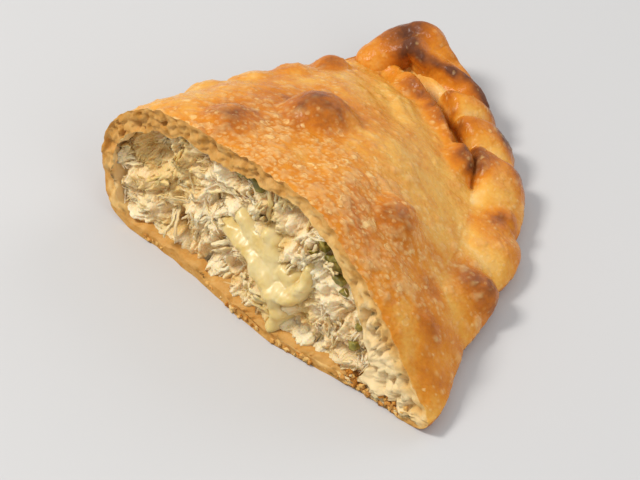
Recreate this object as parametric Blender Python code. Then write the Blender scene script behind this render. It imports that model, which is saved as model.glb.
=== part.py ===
"""Half of a large fried empanada, cut across its middle so that the chicken filling shows.

The whole pastry is a round of dough folded over its filling: a half disc with a straight, rounded
fold and a rope-crimped rim. The cut runs square to the fold, so this half is a quarter disc.

Build frame, in metres: the disc's centre is (0, 0), the cut face looks along -Y, the fold runs
along +Y at X near 0, the crimped rim is the arc of RIM_RADIUS, and the plate is Z = 0. At the end
everything moves so that the origin is the middle of the whole's box, on the plate.
"""

import math

import bmesh
import bpy
import numpy as np
from mathutils import Vector

# Plan of the half, seen from above
RIM_RADIUS = 0.0828  # outer edge of the crimp, at the middle of its scallops
RIM_SPREAD = 0.0048  # how much further the pressed crimp reaches at the cut
RIM_SPREAD_OVER = math.radians(8)
RIM_DRAWN = 0.0024  # how far it is drawn in beyond that, and over what angles
RIM_DRAWN_AT = math.radians(18)
RIM_DRAWN_OVER = math.radians(13)
TIP_DRAWN = 0.0048  # the rim ends under the tip's curl
TIP_DRAWN_OVER = math.radians(8)
SEAM_RADIUS = 0.0725  # where the dome meets the crimp
FOLD_BULGE = 0.0062  # how far the fold stands out past the disc's centre at the cut
FOLD_END = (0.0040, 0.0700)  # where the fold reaches the tip
FOLD_CURVE = 1.8  # power by which it bends in towards the tip
TIP_ANGLE = math.radians(84)  # the rim ends here, in the tip's curl

# Heights above the plate
TOP = 0.0320  # the dome's top, along the middle of the cut
CREST_TIP = 0.0120  # what is left of it at the tip
CREST_POWER = 1.5
FOLD_DROP = 0.0030  # how much lower the dome is at the fold
FOLD_DROP_OVER = 0.030
FOLD_MIDDLE = 0.0140  # height of the fold's outermost line at the cut
FOLD_MIDDLE_TIP = 0.0080
SEAM_HEIGHT = 0.0088
SEAM_HEIGHT_CUT = 0.0180  # the crimp is pressed flat at the cut, so the dome runs on down it
RIM_EDGE = 0.0030  # height of the crimp's outermost line

# How the dome rises from its edges
RIM_SLOPE = 0.0250  # distance over which it rises from the seam
SLOPE_POWER = 1.8  # above 1, so the rise is round
FOLD_ROUND = 0.0185  # radius of the rounded fold, above its middle
FOLD_ROUND_BELOW = 0.0110
RIM_ROUND_BELOW = 0.0060

# The rope crimp: lobes between hand-pinched creases that slant over the rim, from the tip on
SEAM_CREASES = np.radians([98, 70, 62.5, 55.5, 41, 30.5, 18, 5.5, -7])
RIM_CREASES = np.radians([88, 66.5, 61, 51.5, 38, 27, 14, 0, -14])
CREASE_BEND = 0.85  # power by which a crease bends across the rim
LOBE_HEIGHTS = (0.0017, 0.0037, 0.0037, 0.0033, 0.0012, 0.0011, 0.0009, 0.0007)
LOBE_RISES = (0.40, 0.42, 0.40, 0.15, 0.42, 0.45, 0.45, 0.45)  # share taken by the quick rise
LOBE_BASE = 0.0013  # height of the band under the lobes
SCALLOP = 0.0018
FLAT_NEAR_CUT = math.radians(17)  # the lobes are pressed flat over about this angle
FLATTENED = 0.75  # by this share

# The cut: it leans back, and its lower edge sags forward in the middle
CUT_LEAN = math.radians(10)
CUT_SAG = 0.0030
CUT_SAG_AT = 0.046
CUT_SAG_WIDTH = 0.017
CUT_FADE = 0.034  # the sections straighten over this distance from the cut
CUT_FADE_POWER = 1.5

# Dough
DOUGH_TOP_FOLD = 0.0042
DOUGH_TOP_RIM = 0.0020
DOUGH_BOTTOM = 0.0018
DOUGH_FOLD = 0.0032
DOUGH_SEAM = 0.0021
THICK_WITHIN, THIN_PAST = 0.028, 0.050  # the top dough thins between these distances along X
CORNER_SHARE = 0.45  # height of the hollow's edge by the crimp, as a share of the seam's
CORNER_POWER = 16
CORNER_IN = 0.0020  # how far in the hollow's floor ends, and how round its corner is
CORNER_BULGE = 0.0012
CAVITY_END = 0.80  # share of the way to the tip

GAP = 0.00035  # between solids that touch

# Large blisters on the dome: x, y, radius, height
BLISTERS = (
    (0.0289, 0.0303, 0.0090, 0.0042),
    (0.0210, 0.0137, 0.0070, 0.0017),
    (0.0580, 0.0218, 0.0066, 0.0028),
    (0.0080, 0.0540, 0.0050, 0.0018),
    (0.0460, 0.0548, 0.0056, 0.0026),
    (0.0615, 0.0502, 0.0040, 0.0014),
    (0.0726, 0.0320, 0.0046, 0.0016),
)
BLISTER_POWER = 1.4

# Grid counts
STATIONS = 54
DOME_POINTS = 22
CRIMP_POINTS = 9
UNDER_RIM = (0, 0.0015, 0.0040, 0.0080)  # distances of the underside's points from its ends
UNDER_FOLD = (0.0180, 0.0110, 0.0068, 0.0035, 0.0012, 0)
UNDER_MIDDLE = 4
UNDER_ROOM = 0.8  # share of a narrow underside that the distances above may fill
DOME_SPACING = 1.3
INNER_STATIONS = 9
FACE_RINGS = 6
CAP_RINGS = 3  # in the round end of a strand


def clear_scene():
    for old in list(bpy.data.objects):
        bpy.data.objects.remove(old, do_unlink=True)


def material(name, colour, roughness):
    made = bpy.data.materials.new(name)
    made.use_nodes = True
    shader = made.node_tree.nodes["Principled BSDF"]
    shader.inputs["Base Color"].default_value = (*colour, 1.0)
    shader.inputs["Roughness"].default_value = roughness
    shader.inputs["Metallic"].default_value = 0.0
    return made


def fade(value, over):
    """A bell that is 1 at 0 and falls to about a third at the distance over."""
    return np.exp(-((value / over) ** 2))


def rounded(distance, radius):
    """Quarter circle: 0 at an edge, 1 at the radius and past it."""
    t = np.clip(distance / radius, 0, 1)
    return np.sqrt(1 - (1 - t) ** 2)


def fold_x(y):
    """The fold's outermost line in plan, drawn in towards the tip."""
    t = np.clip(y / FOLD_END[1], 0, 1)
    return -FOLD_BULGE + (FOLD_END[0] + FOLD_BULGE) * t**FOLD_CURVE


def fold_height(y):
    t = np.clip(y / FOLD_END[1], 0, 1)
    return FOLD_MIDDLE + (FOLD_MIDDLE_TIP - FOLD_MIDDLE) * t


def seam_height(angle):
    return SEAM_HEIGHT + (SEAM_HEIGHT_CUT - SEAM_HEIGHT) * fade(angle, FLAT_NEAR_CUT)


def lobes(angle, across):
    """Height and share of full height of the lobe at each point: a quick rise, then a long fall."""
    height = np.zeros(np.broadcast(angle, across).shape)
    inside = np.zeros_like(height)
    edges = [s + (r - s) * across**CREASE_BEND for s, r in zip(SEAM_CREASES, RIM_CREASES)]
    for start, stop, tall, rise in zip(edges, edges[1:], LOBE_HEIGHTS, LOBE_RISES):
        f = (start - angle) / (start - stop)
        fall = np.cos(0.5 * math.pi * np.clip((f - rise) / (1 - rise), 0, 1)) ** 0.75
        share = rounded(f, rise) * fall
        here = (f >= 0) & (f < 1)
        height = np.where(here, tall * share, height)
        inside = np.where(here, share, inside)
    return height, inside


def standing(angle):
    """How much of the crimp's relief is left: less where it is pressed flat by the cut."""
    return 1 - FLATTENED * fade(angle, FLAT_NEAR_CUT)


def blister_height(x, y):
    """Round caps: full height in the middle, steep near the radius, nothing past it."""
    total = np.zeros_like(x)
    for cx, cy, radius, height in BLISTERS:
        off = np.hypot(x - cx, y - cy) / radius
        total += height * np.clip(1 - off**2, 0, 1) ** BLISTER_POWER
    return total


def crest_height(x, y):
    """The dome's top: highest along the cut, lower at the fold, and sinking towards the tip."""
    sunk = FOLD_DROP * np.clip(1 - x / FOLD_DROP_OVER, 0, 1) ** 2
    return TOP - sunk - (TOP - CREST_TIP) * np.clip(y / FOLD_END[1], 0, 1) ** CREST_POWER


def dome_height(x, y, share, crest, inset=0.0):
    """The dome over plan points; share runs from 0 on the fold to 1 on the seam.

    It rises as a quarter circle from the fold and on a softer slope from the seam, and both
    factors multiply, so the dome sinks towards the tip, where its two edges meet.
    """
    angle = np.arctan2(y, np.maximum(x, 1e-6))
    edge = (1 - share) * fold_height(y) + share * seam_height(angle)
    from_seam = SEAM_RADIUS - inset - np.hypot(x, y)
    from_fold = x - fold_x(y) - inset
    slope = 1 - (1 - np.clip(from_seam / RIM_SLOPE, 0, 1)) ** SLOPE_POWER
    return edge + (crest - edge) * slope * rounded(from_fold, FOLD_ROUND)


def crimp_height(angle, across):
    """Top of the crimp band; across runs from 0 on the seam to 1 on its outer edge."""
    base = RIM_EDGE + (seam_height(angle) - RIM_EDGE) * (1 - across)
    arch = np.sqrt(np.maximum(0, 1 - (2 * across - 1) ** 2))
    tall, _ = lobes(angle, across)
    return base + arch * (LOBE_BASE * standing(angle) + tall)


def rim_radius(angle):
    spread = RIM_SPREAD * fade(angle, RIM_SPREAD_OVER)
    spread -= RIM_DRAWN * fade(angle - RIM_DRAWN_AT, RIM_DRAWN_OVER)
    spread -= TIP_DRAWN * fade(angle - TIP_ANGLE, TIP_DRAWN_OVER)
    _, inside = lobes(angle, 1.0)
    return RIM_RADIUS + spread + SCALLOP * standing(angle) * (inside - 0.5)


def lean_cut(points):
    """Turns the flat sections near y = 0 into the leaning, sagging surface of the cut."""
    x, y, z = points.T
    near = np.clip(1 - y / CUT_FADE, 0, 1) ** CUT_FADE_POWER
    sag = CUT_SAG * fade(x - CUT_SAG_AT, CUT_SAG_WIDTH) * (1 - z / TOP)
    return np.column_stack([x, y + near * (math.tan(CUT_LEAN) * z - sag), z])


def ends(share, inset=0.0):
    """The section's two ends in plan: on the fold and on the seam."""
    y = share * FOLD_END[1]
    angle = share * TIP_ANGLE
    fold = np.array([fold_x(y) + inset, y])
    seam = (SEAM_RADIUS - inset) * np.array([math.cos(angle), math.sin(angle)])
    return fold, seam, angle


def dome_shares():
    """Where the dome's points lie between the fold and the seam: closer on the rounded fold."""
    return np.linspace(0, 1, DOME_POINTS) ** DOME_SPACING


def under_shares(start, stop):
    """Where the underside's points lie, from its rim end to its fold end."""
    width = np.linalg.norm(stop - start)
    squeeze = min(1, UNDER_ROOM * width / (UNDER_RIM[-1] + UNDER_FOLD[0]))
    near = np.array(UNDER_RIM) * squeeze / width
    far = 1 - np.array(UNDER_FOLD) * squeeze / width
    middle = np.linspace(near[-1], far[0], UNDER_MIDDLE + 2)[1:-1]
    return np.concatenate([near, middle, far])


def outer_section(share):
    """One closed section of the skin: over the dome, over the crimp, and back under."""
    fold, seam, angle = ends(share)
    along = dome_shares()
    plan = fold + (seam - fold) * along[:, None]
    crest = crest_height(*plan.T) + blister_height(*plan.T)
    dome = np.column_stack([plan, dome_height(*plan.T, along, crest)])

    across = (1 - np.cos(np.linspace(0, 1, CRIMP_POINTS) * math.pi)) / 2
    ray = np.array([math.cos(angle), math.sin(angle)])
    edge = rim_radius(angle)
    radius = SEAM_RADIUS + (edge - SEAM_RADIUS) * across
    crimp = np.column_stack([radius[:, None] * ray, crimp_height(angle, across)])

    rim = edge * ray
    plan = rim + (fold - rim) * under_shares(rim, fold)[:, None]
    from_rim = np.linalg.norm(plan - rim, axis=1)
    from_fold = np.linalg.norm(plan - fold, axis=1)
    lift = RIM_EDGE * (1 - rounded(from_rim, RIM_ROUND_BELOW))
    lift += fold_height(fold[1]) * (1 - rounded(from_fold, FOLD_ROUND_BELOW))
    bottom = np.column_stack([plan, lift])
    return lean_cut(np.vstack([dome, crimp[1:], bottom[1:-1]]))


def inner_section(share, gap=0.0):
    """One closed section of the hollow, or with a gap, of the filling inside it."""
    fold, seam, angle = ends(share)
    ray = np.array([math.cos(angle), math.sin(angle)])
    toward = (seam - fold) / np.linalg.norm(seam - fold)
    inset = DOUGH_SEAM + gap
    fold = fold + (DOUGH_FOLD + gap) * toward
    seam = seam - inset * ray
    low = DOUGH_BOTTOM + gap
    along = dome_shares()
    plan = fold + (seam - fold) * along[:, None]
    near_fold = np.clip((THIN_PAST - plan[:, 0]) / (THIN_PAST - THICK_WITHIN), 0, 1)
    dough = DOUGH_TOP_RIM + (DOUGH_TOP_FOLD - DOUGH_TOP_RIM) * near_fold
    height = dome_height(*plan.T, along, crest_height(*plan.T) - dough - gap, DOUGH_FOLD + gap)
    corner = low + CORNER_SHARE * (seam_height(angle) - low)
    height += (corner - seam_height(angle)) * along**CORNER_POWER
    dome = np.column_stack([plan, np.maximum(height, low)])

    turn = np.linspace(0, 1, CRIMP_POINTS)[:, None]
    start, stop = dome[-1], np.array([*(seam - CORNER_IN * ray), low])
    corner_points = start + (stop - start) * turn
    corner_points[:, :2] += CORNER_BULGE * np.sin(math.pi * turn) * ray

    plan = stop[:2] + (fold - stop[:2]) * under_shares(stop[:2], fold)[:, None]
    from_fold = np.linalg.norm(plan - fold, axis=1)
    lift = (dome[0, 2] - low) * (1 - rounded(from_fold, FOLD_ROUND_BELOW - DOUGH_FOLD))
    bottom = np.column_stack([plan, low + lift])
    return lean_cut(np.vstack([dome, corner_points[1:], bottom[1:-1]]))


def mesh_object(name, sections, start, end):
    """Joins closed sections into one skin, and closes each end with a fan to its point."""
    bm = bmesh.new()
    rows = [[bm.verts.new(p) for p in section] for section in sections]
    for a, b in zip(rows, rows[1:]):
        for i in range(len(a)):
            j = (i + 1) % len(a)
            bm.faces.new((a[i], a[j], b[j], b[i]))
    for row, centre in ((rows[0], start), (rows[-1], end)):
        middle = bm.verts.new(centre)
        for i in range(len(row)):
            bm.faces.new((row[i], row[(i + 1) % len(row)], middle))
    bmesh.ops.recalc_face_normals(bm, faces=bm.faces)
    mesh = bpy.data.meshes.new(name)
    bm.to_mesh(mesh)
    bm.free()
    mesh.shade_smooth()
    made = bpy.data.objects.new(name, mesh)
    bpy.context.collection.objects.link(made)
    return made


def smooth_path(points, count):
    """Catmull-Rom curve through the points, with radii as a fourth column."""
    p = np.array(points, float)
    p = np.vstack([2 * p[0] - p[1], p, 2 * p[-1] - p[-2]])
    t = np.linspace(0, len(points) - 1, count)
    i = np.minimum(t.astype(int), len(points) - 2)
    f = (t - i)[:, None]
    a, b, c, d = (p[i + k] for k in range(4))
    return 0.5 * (2 * b + (c - a) * f + (2 * a - 5 * b + 4 * c - d) * f**2 + (3 * b - a - 3 * c + d) * f**3)


def tube(name, points, count, sides, grow=0.0, squash=1.0):
    """A round-ended strand along a path; the fourth column of the path is its radius."""
    path = smooth_path(points, count)
    place, radius = path[:, :3], path[:, 3] + grow
    forward = np.gradient(place, axis=0)
    forward /= np.linalg.norm(forward, axis=1)[:, None]
    side = np.cross(forward, (0, 0, 1.0))
    side /= np.linalg.norm(side, axis=1)[:, None]
    rise = np.cross(side, forward)
    turn = np.linspace(0, 2 * math.pi, sides, endpoint=False)
    sections = []
    for k in range(-CAP_RINGS, count + CAP_RINGS):
        at = min(max(k, 0), count - 1)
        over = (k - at) / (CAP_RINGS + 0.5)
        r = radius[at] * math.sqrt(1 - over**2)
        centre = place[at] + forward[at] * over * radius[at]
        ring = np.outer(np.cos(turn), side[at]) + squash * np.outer(np.sin(turn), rise[at])
        sections.append(centre + r * ring)
    first = place[0] - forward[0] * radius[0]
    last = place[-1] + forward[-1] * radius[-1]
    return mesh_object(name, sections, first, last)


def cutter(made):
    made.hide_render = True
    made.display_type = "WIRE"
    return made


def boolean(target, tool, operation):
    modifier = target.modifiers.new(tool.name, "BOOLEAN")
    modifier.operation = operation
    modifier.object = tool
    return modifier


# The tip's curl, and the strand that runs from it along the rope: x, y, z, radius
TIP_STRAND = (
    (0.0084, 0.0742, 0.0080, 0.0058),
    (0.0128, 0.0770, 0.0104, 0.0056),
    (0.0176, 0.0768, 0.0092, 0.0048),
    (0.0235, 0.0757, 0.0074, 0.0044),
    (0.0300, 0.0742, 0.0060, 0.0039),
    (0.0352, 0.0722, 0.0048, 0.0028),
)
TIP_RINGS, TIP_SIDES = 22, 12


def make_crust():
    """The fried dough: one shell, open at the cut, with its crimp and the curl at its tip."""
    outer = [outer_section(s) for s in np.linspace(1, 0, STATIONS)]
    inner = [inner_section(s) for s in np.linspace(0, CAVITY_END, INNER_STATIONS)]
    crust = mesh_object("crust", outer + inner, outer[0].mean(axis=0), inner[-1].mean(axis=0))
    curl = cutter(tube("tip_curl", TIP_STRAND, TIP_RINGS, TIP_SIDES))
    boolean(crust, curl, "UNION")
    crust.data.materials.append(material("fried_dough", (0.62, 0.30, 0.09), 0.5))
    return crust


# The filling's torn face: how far it lies behind the cut, its lumps, and a hollow at the fold
FACE_BEHIND = 0.0020
FACE_EDGE_DEPTH = 0.0032  # how far it may lie back along the dough
LUMPS_ALONG = (0.0011, 0.0031, 1.3, 0.0042)  # height, wave, how much the other way bends it, wave
LUMPS_UP = (0.0009, 0.0024, 2.1, 0.0055)
FACE_HOLLOW = (0.0060, 0.0210, 0.0090, 0.0075)  # x, z, radius, depth
FILLING_SHORT = 0.7  # the filling stops this share of a section short of the hollow's end


def wave(along, across, height, length, bend, bend_length):
    return height * np.sin(along / length + bend * np.sin(across / bend_length))


def face_relief(x, z):
    """How deep the filling's torn face lies behind the cut."""
    hollow_x, hollow_z, radius, depth = FACE_HOLLOW
    lumps = wave(x, z, *LUMPS_ALONG) + wave(z, x + math.pi / 2 * LUMPS_UP[3], *LUMPS_UP)
    return FACE_BEHIND + lumps + depth * fade(x - hollow_x, radius) * fade(z - hollow_z, radius)


def make_filling(tools):
    """Shredded chicken, packed into the hollow out to its torn face at the cut."""
    inner = [inner_section(s, GAP) for s in np.linspace(0, CAVITY_END, INNER_STATIONS)]
    inner[-1] = inner[-1] + (inner[-2] - inner[-1]) * FILLING_SHORT
    edge = inner[0]
    middle = edge.mean(axis=0)
    face = []
    for k in range(1, FACE_RINGS + 1):
        ring = middle + (edge - middle) * k / FACE_RINGS
        depth = face_relief(ring[:, 0], ring[:, 2])[:, None]
        if k == FACE_RINGS:
            along = inner[1] - edge
            along /= np.linalg.norm(along, axis=1)[:, None]
            face.append(ring + along * np.minimum(depth, FACE_EDGE_DEPTH))
        else:
            face.append(ring + depth * (0, 1, 0))
    start = middle + np.array([0, face_relief(middle[0], middle[2]), 0])
    filling = mesh_object("chicken_filling", face + inner[1:], start, inner[-1].mean(axis=0))
    for tool in tools:
        boolean(filling, tool, "DIFFERENCE")
    filling.data.materials.append(material("shredded_chicken", (0.72, 0.58, 0.38), 0.6))
    return filling


def on_face(x, z):
    """A point on the filling's torn face."""
    y = lean_cut(np.array([[x, 0.0, z]]))[0, 1]
    return (x, y + face_relief(x, z), z)


# Melted cheese on the face, and its core inside the filling
CHEESE_RUN = ((0.0290, 0.0140, 0.0012), (0.0350, 0.0133, 0.0020), (0.0400, 0.0118, 0.0027),
              (0.0450, 0.0098, 0.0034), (0.0495, 0.0112, 0.0034), (0.0525, 0.0155, 0.0020))
CHEESE_DRIP = ((0.0455, 0.0095, 0.0026), (0.0468, 0.0066, 0.0021), (0.0472, 0.0048, 0.0016))
CHEESE_RINGS, DRIP_RINGS, CORE_RINGS = 13, 5, 7
CHEESE_SIDES, CORE_SIDES = 10, 8
CHEESE_CORE = ((0.0465, 0.0040, 0.0105, 0.0034), (0.0430, 0.0140, 0.0125, 0.0042),
               (0.0360, 0.0260, 0.0130, 0.0040), (0.0280, 0.0380, 0.0120, 0.0026))


def cheese_part(name, points, count, grow):
    """A strand on the face: half sunk in it, half standing out."""
    path = [(*on_face(x, z), radius) for x, z, radius in points]
    return tube(name, path, count, CHEESE_SIDES, grow)


def make_cheese(name, grow=0.0):
    run = cheese_part(name, CHEESE_RUN, CHEESE_RINGS, grow)
    parts = (cheese_part(name + "_drip", CHEESE_DRIP, DRIP_RINGS, grow),
             tube(name + "_core", CHEESE_CORE, CORE_RINGS, CORE_SIDES, grow))
    for extra in parts:
        boolean(run, cutter(extra), "UNION")
    return run


# Bits of green pepper that show in the face: x, z, half length, half width, tilt
PEPPERS = ((0.0355, 0.0258, 0.0030, 0.0012, -4), (0.0548, 0.0226, 0.0026, 0.0015, -38),
           (0.0595, 0.0188, 0.0024, 0.0016, -48), (0.0655, 0.0080, 0.0015, 0.0010, 20))
PEPPER_SIDES, PEPPER_TALL = 8, 1.3  # across its length a bit is this much taller than wide


def make_pepper(name, spec, grow=0.0):
    """A diced bit: a rounded bar set into the face, its length turned by the tilt."""
    x, z, half_length, half_width, tilt = spec
    centre = np.array(on_face(x, z))
    turn = math.radians(tilt)
    along = np.array([math.cos(turn), 0, math.sin(turn)]) * (half_length - half_width)
    points = [(*(centre + along * k), half_width) for k in (-1, 0, 1)]
    return tube(name, points, len(points), PEPPER_SIDES, grow, PEPPER_TALL)


def move_to_base(objects):
    """Puts the origin under the middle of the whole's box, with the lowest point at zero."""
    graph = bpy.context.evaluated_depsgraph_get()
    corners = []
    for thing in objects:
        if not thing.hide_render:
            corners += [Vector(v.co) for v in thing.evaluated_get(graph).to_mesh().vertices]
    points = np.array(corners)
    low, high = points.min(axis=0), points.max(axis=0)
    shift = -np.array([(low[0] + high[0]) / 2, (low[1] + high[1]) / 2, low[2]])
    for thing in objects:
        for vertex in thing.data.vertices:
            vertex.co += Vector(shift)
    print("size in mm:", np.round((high - low) * 1000, 2), "moved by", np.round(shift * 1000, 2))


def main():
    clear_scene()
    make_crust()
    cheese = make_cheese("melted_cheese")
    cheese.data.materials.append(material("cheese", (0.85, 0.72, 0.38), 0.25))
    tools = [cutter(make_cheese("cheese_room", GAP))]
    for number, spec in enumerate(PEPPERS, 1):
        pepper = make_pepper(f"green_pepper_{number}", spec)
        pepper.data.materials.append(material(f"pepper_{number}", (0.22, 0.23, 0.04), 0.35))
        tools.append(cutter(make_pepper(f"pepper_room_{number}", spec, GAP)))
    make_filling(tools)
    move_to_base(list(bpy.data.objects))


main()
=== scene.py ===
# %% [markdown]
# # Half of a fried empanada
#
# A large empanada is a round of dough folded over its filling. The edge is pressed shut and turned
# over on itself in slanting lobes, the rope crimp. Frying blisters the skin and browns whatever
# stands out. This half was cut across, so it shows dough, shredded chicken, cheese and pepper.
#
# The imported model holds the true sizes. It is loaded first, and everything made here keeps to its
# box within a millimetre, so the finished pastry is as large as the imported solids.

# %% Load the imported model
import math
from functools import partialmethod

import bpy
import numpy as np
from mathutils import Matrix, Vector


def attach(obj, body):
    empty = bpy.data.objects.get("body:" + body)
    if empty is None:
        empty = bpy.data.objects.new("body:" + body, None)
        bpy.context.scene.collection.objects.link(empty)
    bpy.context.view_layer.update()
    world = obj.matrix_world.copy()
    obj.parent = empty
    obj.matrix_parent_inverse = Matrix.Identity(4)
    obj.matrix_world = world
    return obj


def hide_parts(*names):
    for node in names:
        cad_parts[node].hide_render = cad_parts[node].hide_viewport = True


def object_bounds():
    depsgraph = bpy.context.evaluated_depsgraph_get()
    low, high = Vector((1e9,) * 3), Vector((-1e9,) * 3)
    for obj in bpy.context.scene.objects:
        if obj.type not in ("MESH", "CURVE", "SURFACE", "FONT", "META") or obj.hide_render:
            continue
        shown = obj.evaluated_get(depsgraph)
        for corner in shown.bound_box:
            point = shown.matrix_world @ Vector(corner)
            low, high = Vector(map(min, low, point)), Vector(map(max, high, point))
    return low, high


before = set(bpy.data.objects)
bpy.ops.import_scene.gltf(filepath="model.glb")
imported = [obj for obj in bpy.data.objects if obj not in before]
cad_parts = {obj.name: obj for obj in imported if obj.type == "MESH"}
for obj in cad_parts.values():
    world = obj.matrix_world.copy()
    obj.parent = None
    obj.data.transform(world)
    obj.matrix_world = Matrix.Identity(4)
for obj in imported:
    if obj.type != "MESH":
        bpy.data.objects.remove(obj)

CAD_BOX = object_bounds()
LOW, HIGH = (np.array(corner) for corner in CAD_BOX)
print("packed size in mm:", np.round((HIGH - LOW) * 1000, 1))

# %% [markdown]
# ## The pastry's own plan
#
# It is easiest to think in millimetres from the middle of the round of dough: the cut runs along
# X at Y = 0, the fold runs up Y, and the crimp is an arc about that middle. CENTRE is where the
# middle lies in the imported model, worked out from the box: the fold's bulge is the box's left side,
# and the sagging lower edge of the cut is its front.

# %% Plan
MM = 0.001
RIM_RADIUS = 82.8
RIM_SPREAD, RIM_SPREAD_OVER = 4.8, math.radians(8)
RIM_DRAWN, RIM_DRAWN_AT, RIM_DRAWN_OVER = 2.4, math.radians(18), math.radians(13)
TIP_DRAWN, TIP_DRAWN_OVER = 4.8, math.radians(8)
SEAM_RADIUS = 72.5
FOLD_BULGE, FOLD_CURVE = 6.2, 1.8
FOLD_END = (4.0, 70.0)
TIP_ANGLE = math.radians(84)
SAG_REACH = 2.6

CENTRE = np.array([LOW[0] + FOLD_BULGE * MM, LOW[1] + SAG_REACH * MM, LOW[2]])
print("middle of the round at", np.round(CENTRE * 1000, 2), "mm")

# %% Heights
TOP, CREST_TIP, CREST_POWER = 32.0, 12.0, 1.5
FOLD_DROP, FOLD_DROP_OVER = 3.0, 30.0
FOLD_MIDDLE, FOLD_MIDDLE_TIP = 14.0, 8.0
SEAM_HEIGHT, SEAM_HEIGHT_CUT = 8.8, 18.0
RIM_EDGE = 3.0
RIM_SLOPE, SLOPE_POWER = 25.0, 1.8
FOLD_ROUND, FOLD_ROUND_BELOW, RIM_ROUND_BELOW = 18.5, 11.0, 6.0
CUT_LEAN, CUT_FADE, CUT_FADE_POWER = math.radians(10), 34.0, 1.5
CUT_SAG, CUT_SAG_AT, CUT_SAG_WIDTH = 3.0, 46.0, 17.0
DOUGH_TOP_FOLD, DOUGH_TOP_RIM, DOUGH_BOTTOM, DOUGH_FOLD, DOUGH_SEAM = 4.2, 2.0, 1.7, 3.2, 2.1
THICK_WITHIN, THIN_PAST = 28.0, 50.0
CORNER_SHARE, CORNER_POWER, CORNER_IN, CORNER_BULGE = 0.45, 16, 2.0, 1.2
FLAT_OVER, FLATTENED = math.radians(17), 0.75

# %% [markdown]
# ## Small functions that shape everything
#
# A bell, a quarter circle and a smooth step are enough to describe most of the dough. Noise adds
# what no formula knows: each call gives the same values for the same points, so the pastry comes
# out the same every time.

# %% Bell, quarter circle, smooth step
def fade(value, over):
    """A bell: 1 at 0, about a third at the distance over."""
    return np.exp(-((value / over) ** 2))


def rounded(distance, radius):
    """A quarter circle: 0 at an edge, 1 at the radius and past it."""
    return np.sqrt(1 - (1 - np.clip(distance / radius, 0, 1)) ** 2)


def step(value, start, stop):
    """0 before start, 1 past stop, smooth between."""
    t = np.clip((value - start) / (stop - start), 0, 1)
    return t * t * (3 - 2 * t)


# %% Noise
TABLE_SIZE = 256
table_rng = np.random.default_rng(11)
SHUFFLED = np.tile(table_rng.permutation(TABLE_SIZE), 3)
SLOPES = table_rng.normal(size=(TABLE_SIZE, 3))
SLOPES /= np.linalg.norm(SLOPES, axis=1)[:, None]


def smooth_noise(points, size, seed=0):
    """About -1 to 1: a random slope at each corner of a lattice of this size, blended between."""
    place = np.asarray(points) / size + 37.7 * seed
    cell = np.floor(place).astype(int)
    part = place - cell
    ease = part**3 * (part * (6 * part - 15) + 10)
    total = 0
    for corner in np.ndindex(2, 2, 2):
        i, j, k = np.moveaxis((cell + corner) % TABLE_SIZE, -1, 0)
        slope = SLOPES[SHUFFLED[SHUFFLED[SHUFFLED[i] + j] + k]]
        total = total + (slope * (part - corner)).sum(-1) * np.where(corner, ease, 1 - ease).prod(-1)
    return 1.6 * total


def rough_noise(points, size, octaves=3, seed=0):
    """Noise with finer noise on it: each octave is half the size and half the height."""
    return sum(smooth_noise(points, size / 2**k, seed + k) / 2**k for k in range(octaves))


def noise_vector(points, size, octaves, seed):
    """Three rough noises with neighbouring seeds, as a push along X, Y and Z."""
    return np.stack([rough_noise(points, size, octaves, seed + k) for k in range(3)], -1)


def upright(x, z):
    """Points of the X-Z plane, where the face's noises are looked up."""
    return np.stack([x, z, 0 * x], -1)


# %% [markdown]
# ## From a grid of points to a mesh
#
# Every new piece is a grid: rows one way, columns the other. Neighbouring rows and columns give the
# four-sided faces, a column can close on the first one, and a row of points can close on a pole.

# %% Grid to mesh
def grid_faces(rows, columns, closed=False):
    """Faces between neighbouring rows and columns; closed joins the last column to the first."""
    index = np.arange(rows * columns).reshape(rows, columns)
    if closed:
        index = np.hstack([index, index[:, :1]])
    return np.stack([index[:-1, :-1], index[:-1, 1:], index[1:, 1:], index[1:, :-1]], -1).reshape(-1, 4)


def pole_faces(ring, pole, flip=False):
    """Triangles from a closed ring of point numbers to one pole."""
    after = np.roll(ring, -1)
    order = (after, ring) if flip else (ring, after)
    return np.stack([*order, np.full(len(ring), pole)], -1)


def tube_faces(count, rings, sides):
    """Faces of closed tubes one after another: each is a pole, its rings, and a pole."""
    each = rings * sides + 2
    walls = grid_faces(rings, sides, closed=True) + 1
    first, last = np.arange(sides) + 1, np.arange(sides) + 1 + (rings - 1) * sides
    caps = np.vstack([pole_faces(first, 0, flip=True), pole_faces(last, each - 1)])
    step_on = (np.arange(count) * each)[:, None, None]
    return (walls + step_on).reshape(-1, 4).tolist() + (caps + step_on).reshape(-1, 3).tolist()


def with_poles(grid):
    """The rings' points or values as one list, the middle of the first before and of the last after."""
    flat = grid.reshape(grid.shape[0] * grid.shape[1], -1)
    return np.squeeze(np.vstack([grid[0].mean(axis=0), flat, grid[-1].mean(axis=0)]))


def grid_normals(points, closed=False):
    """Unit vectors square to the surface, from the way to the next column and to the next row."""
    if closed:
        across = np.roll(points, -1, axis=1) - np.roll(points, 1, axis=1)
    else:
        across = np.gradient(points, axis=1)
    normal = np.cross(across, np.gradient(points, axis=0))
    return normal / (np.linalg.norm(normal, axis=-1, keepdims=True) + 1e-9)


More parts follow.
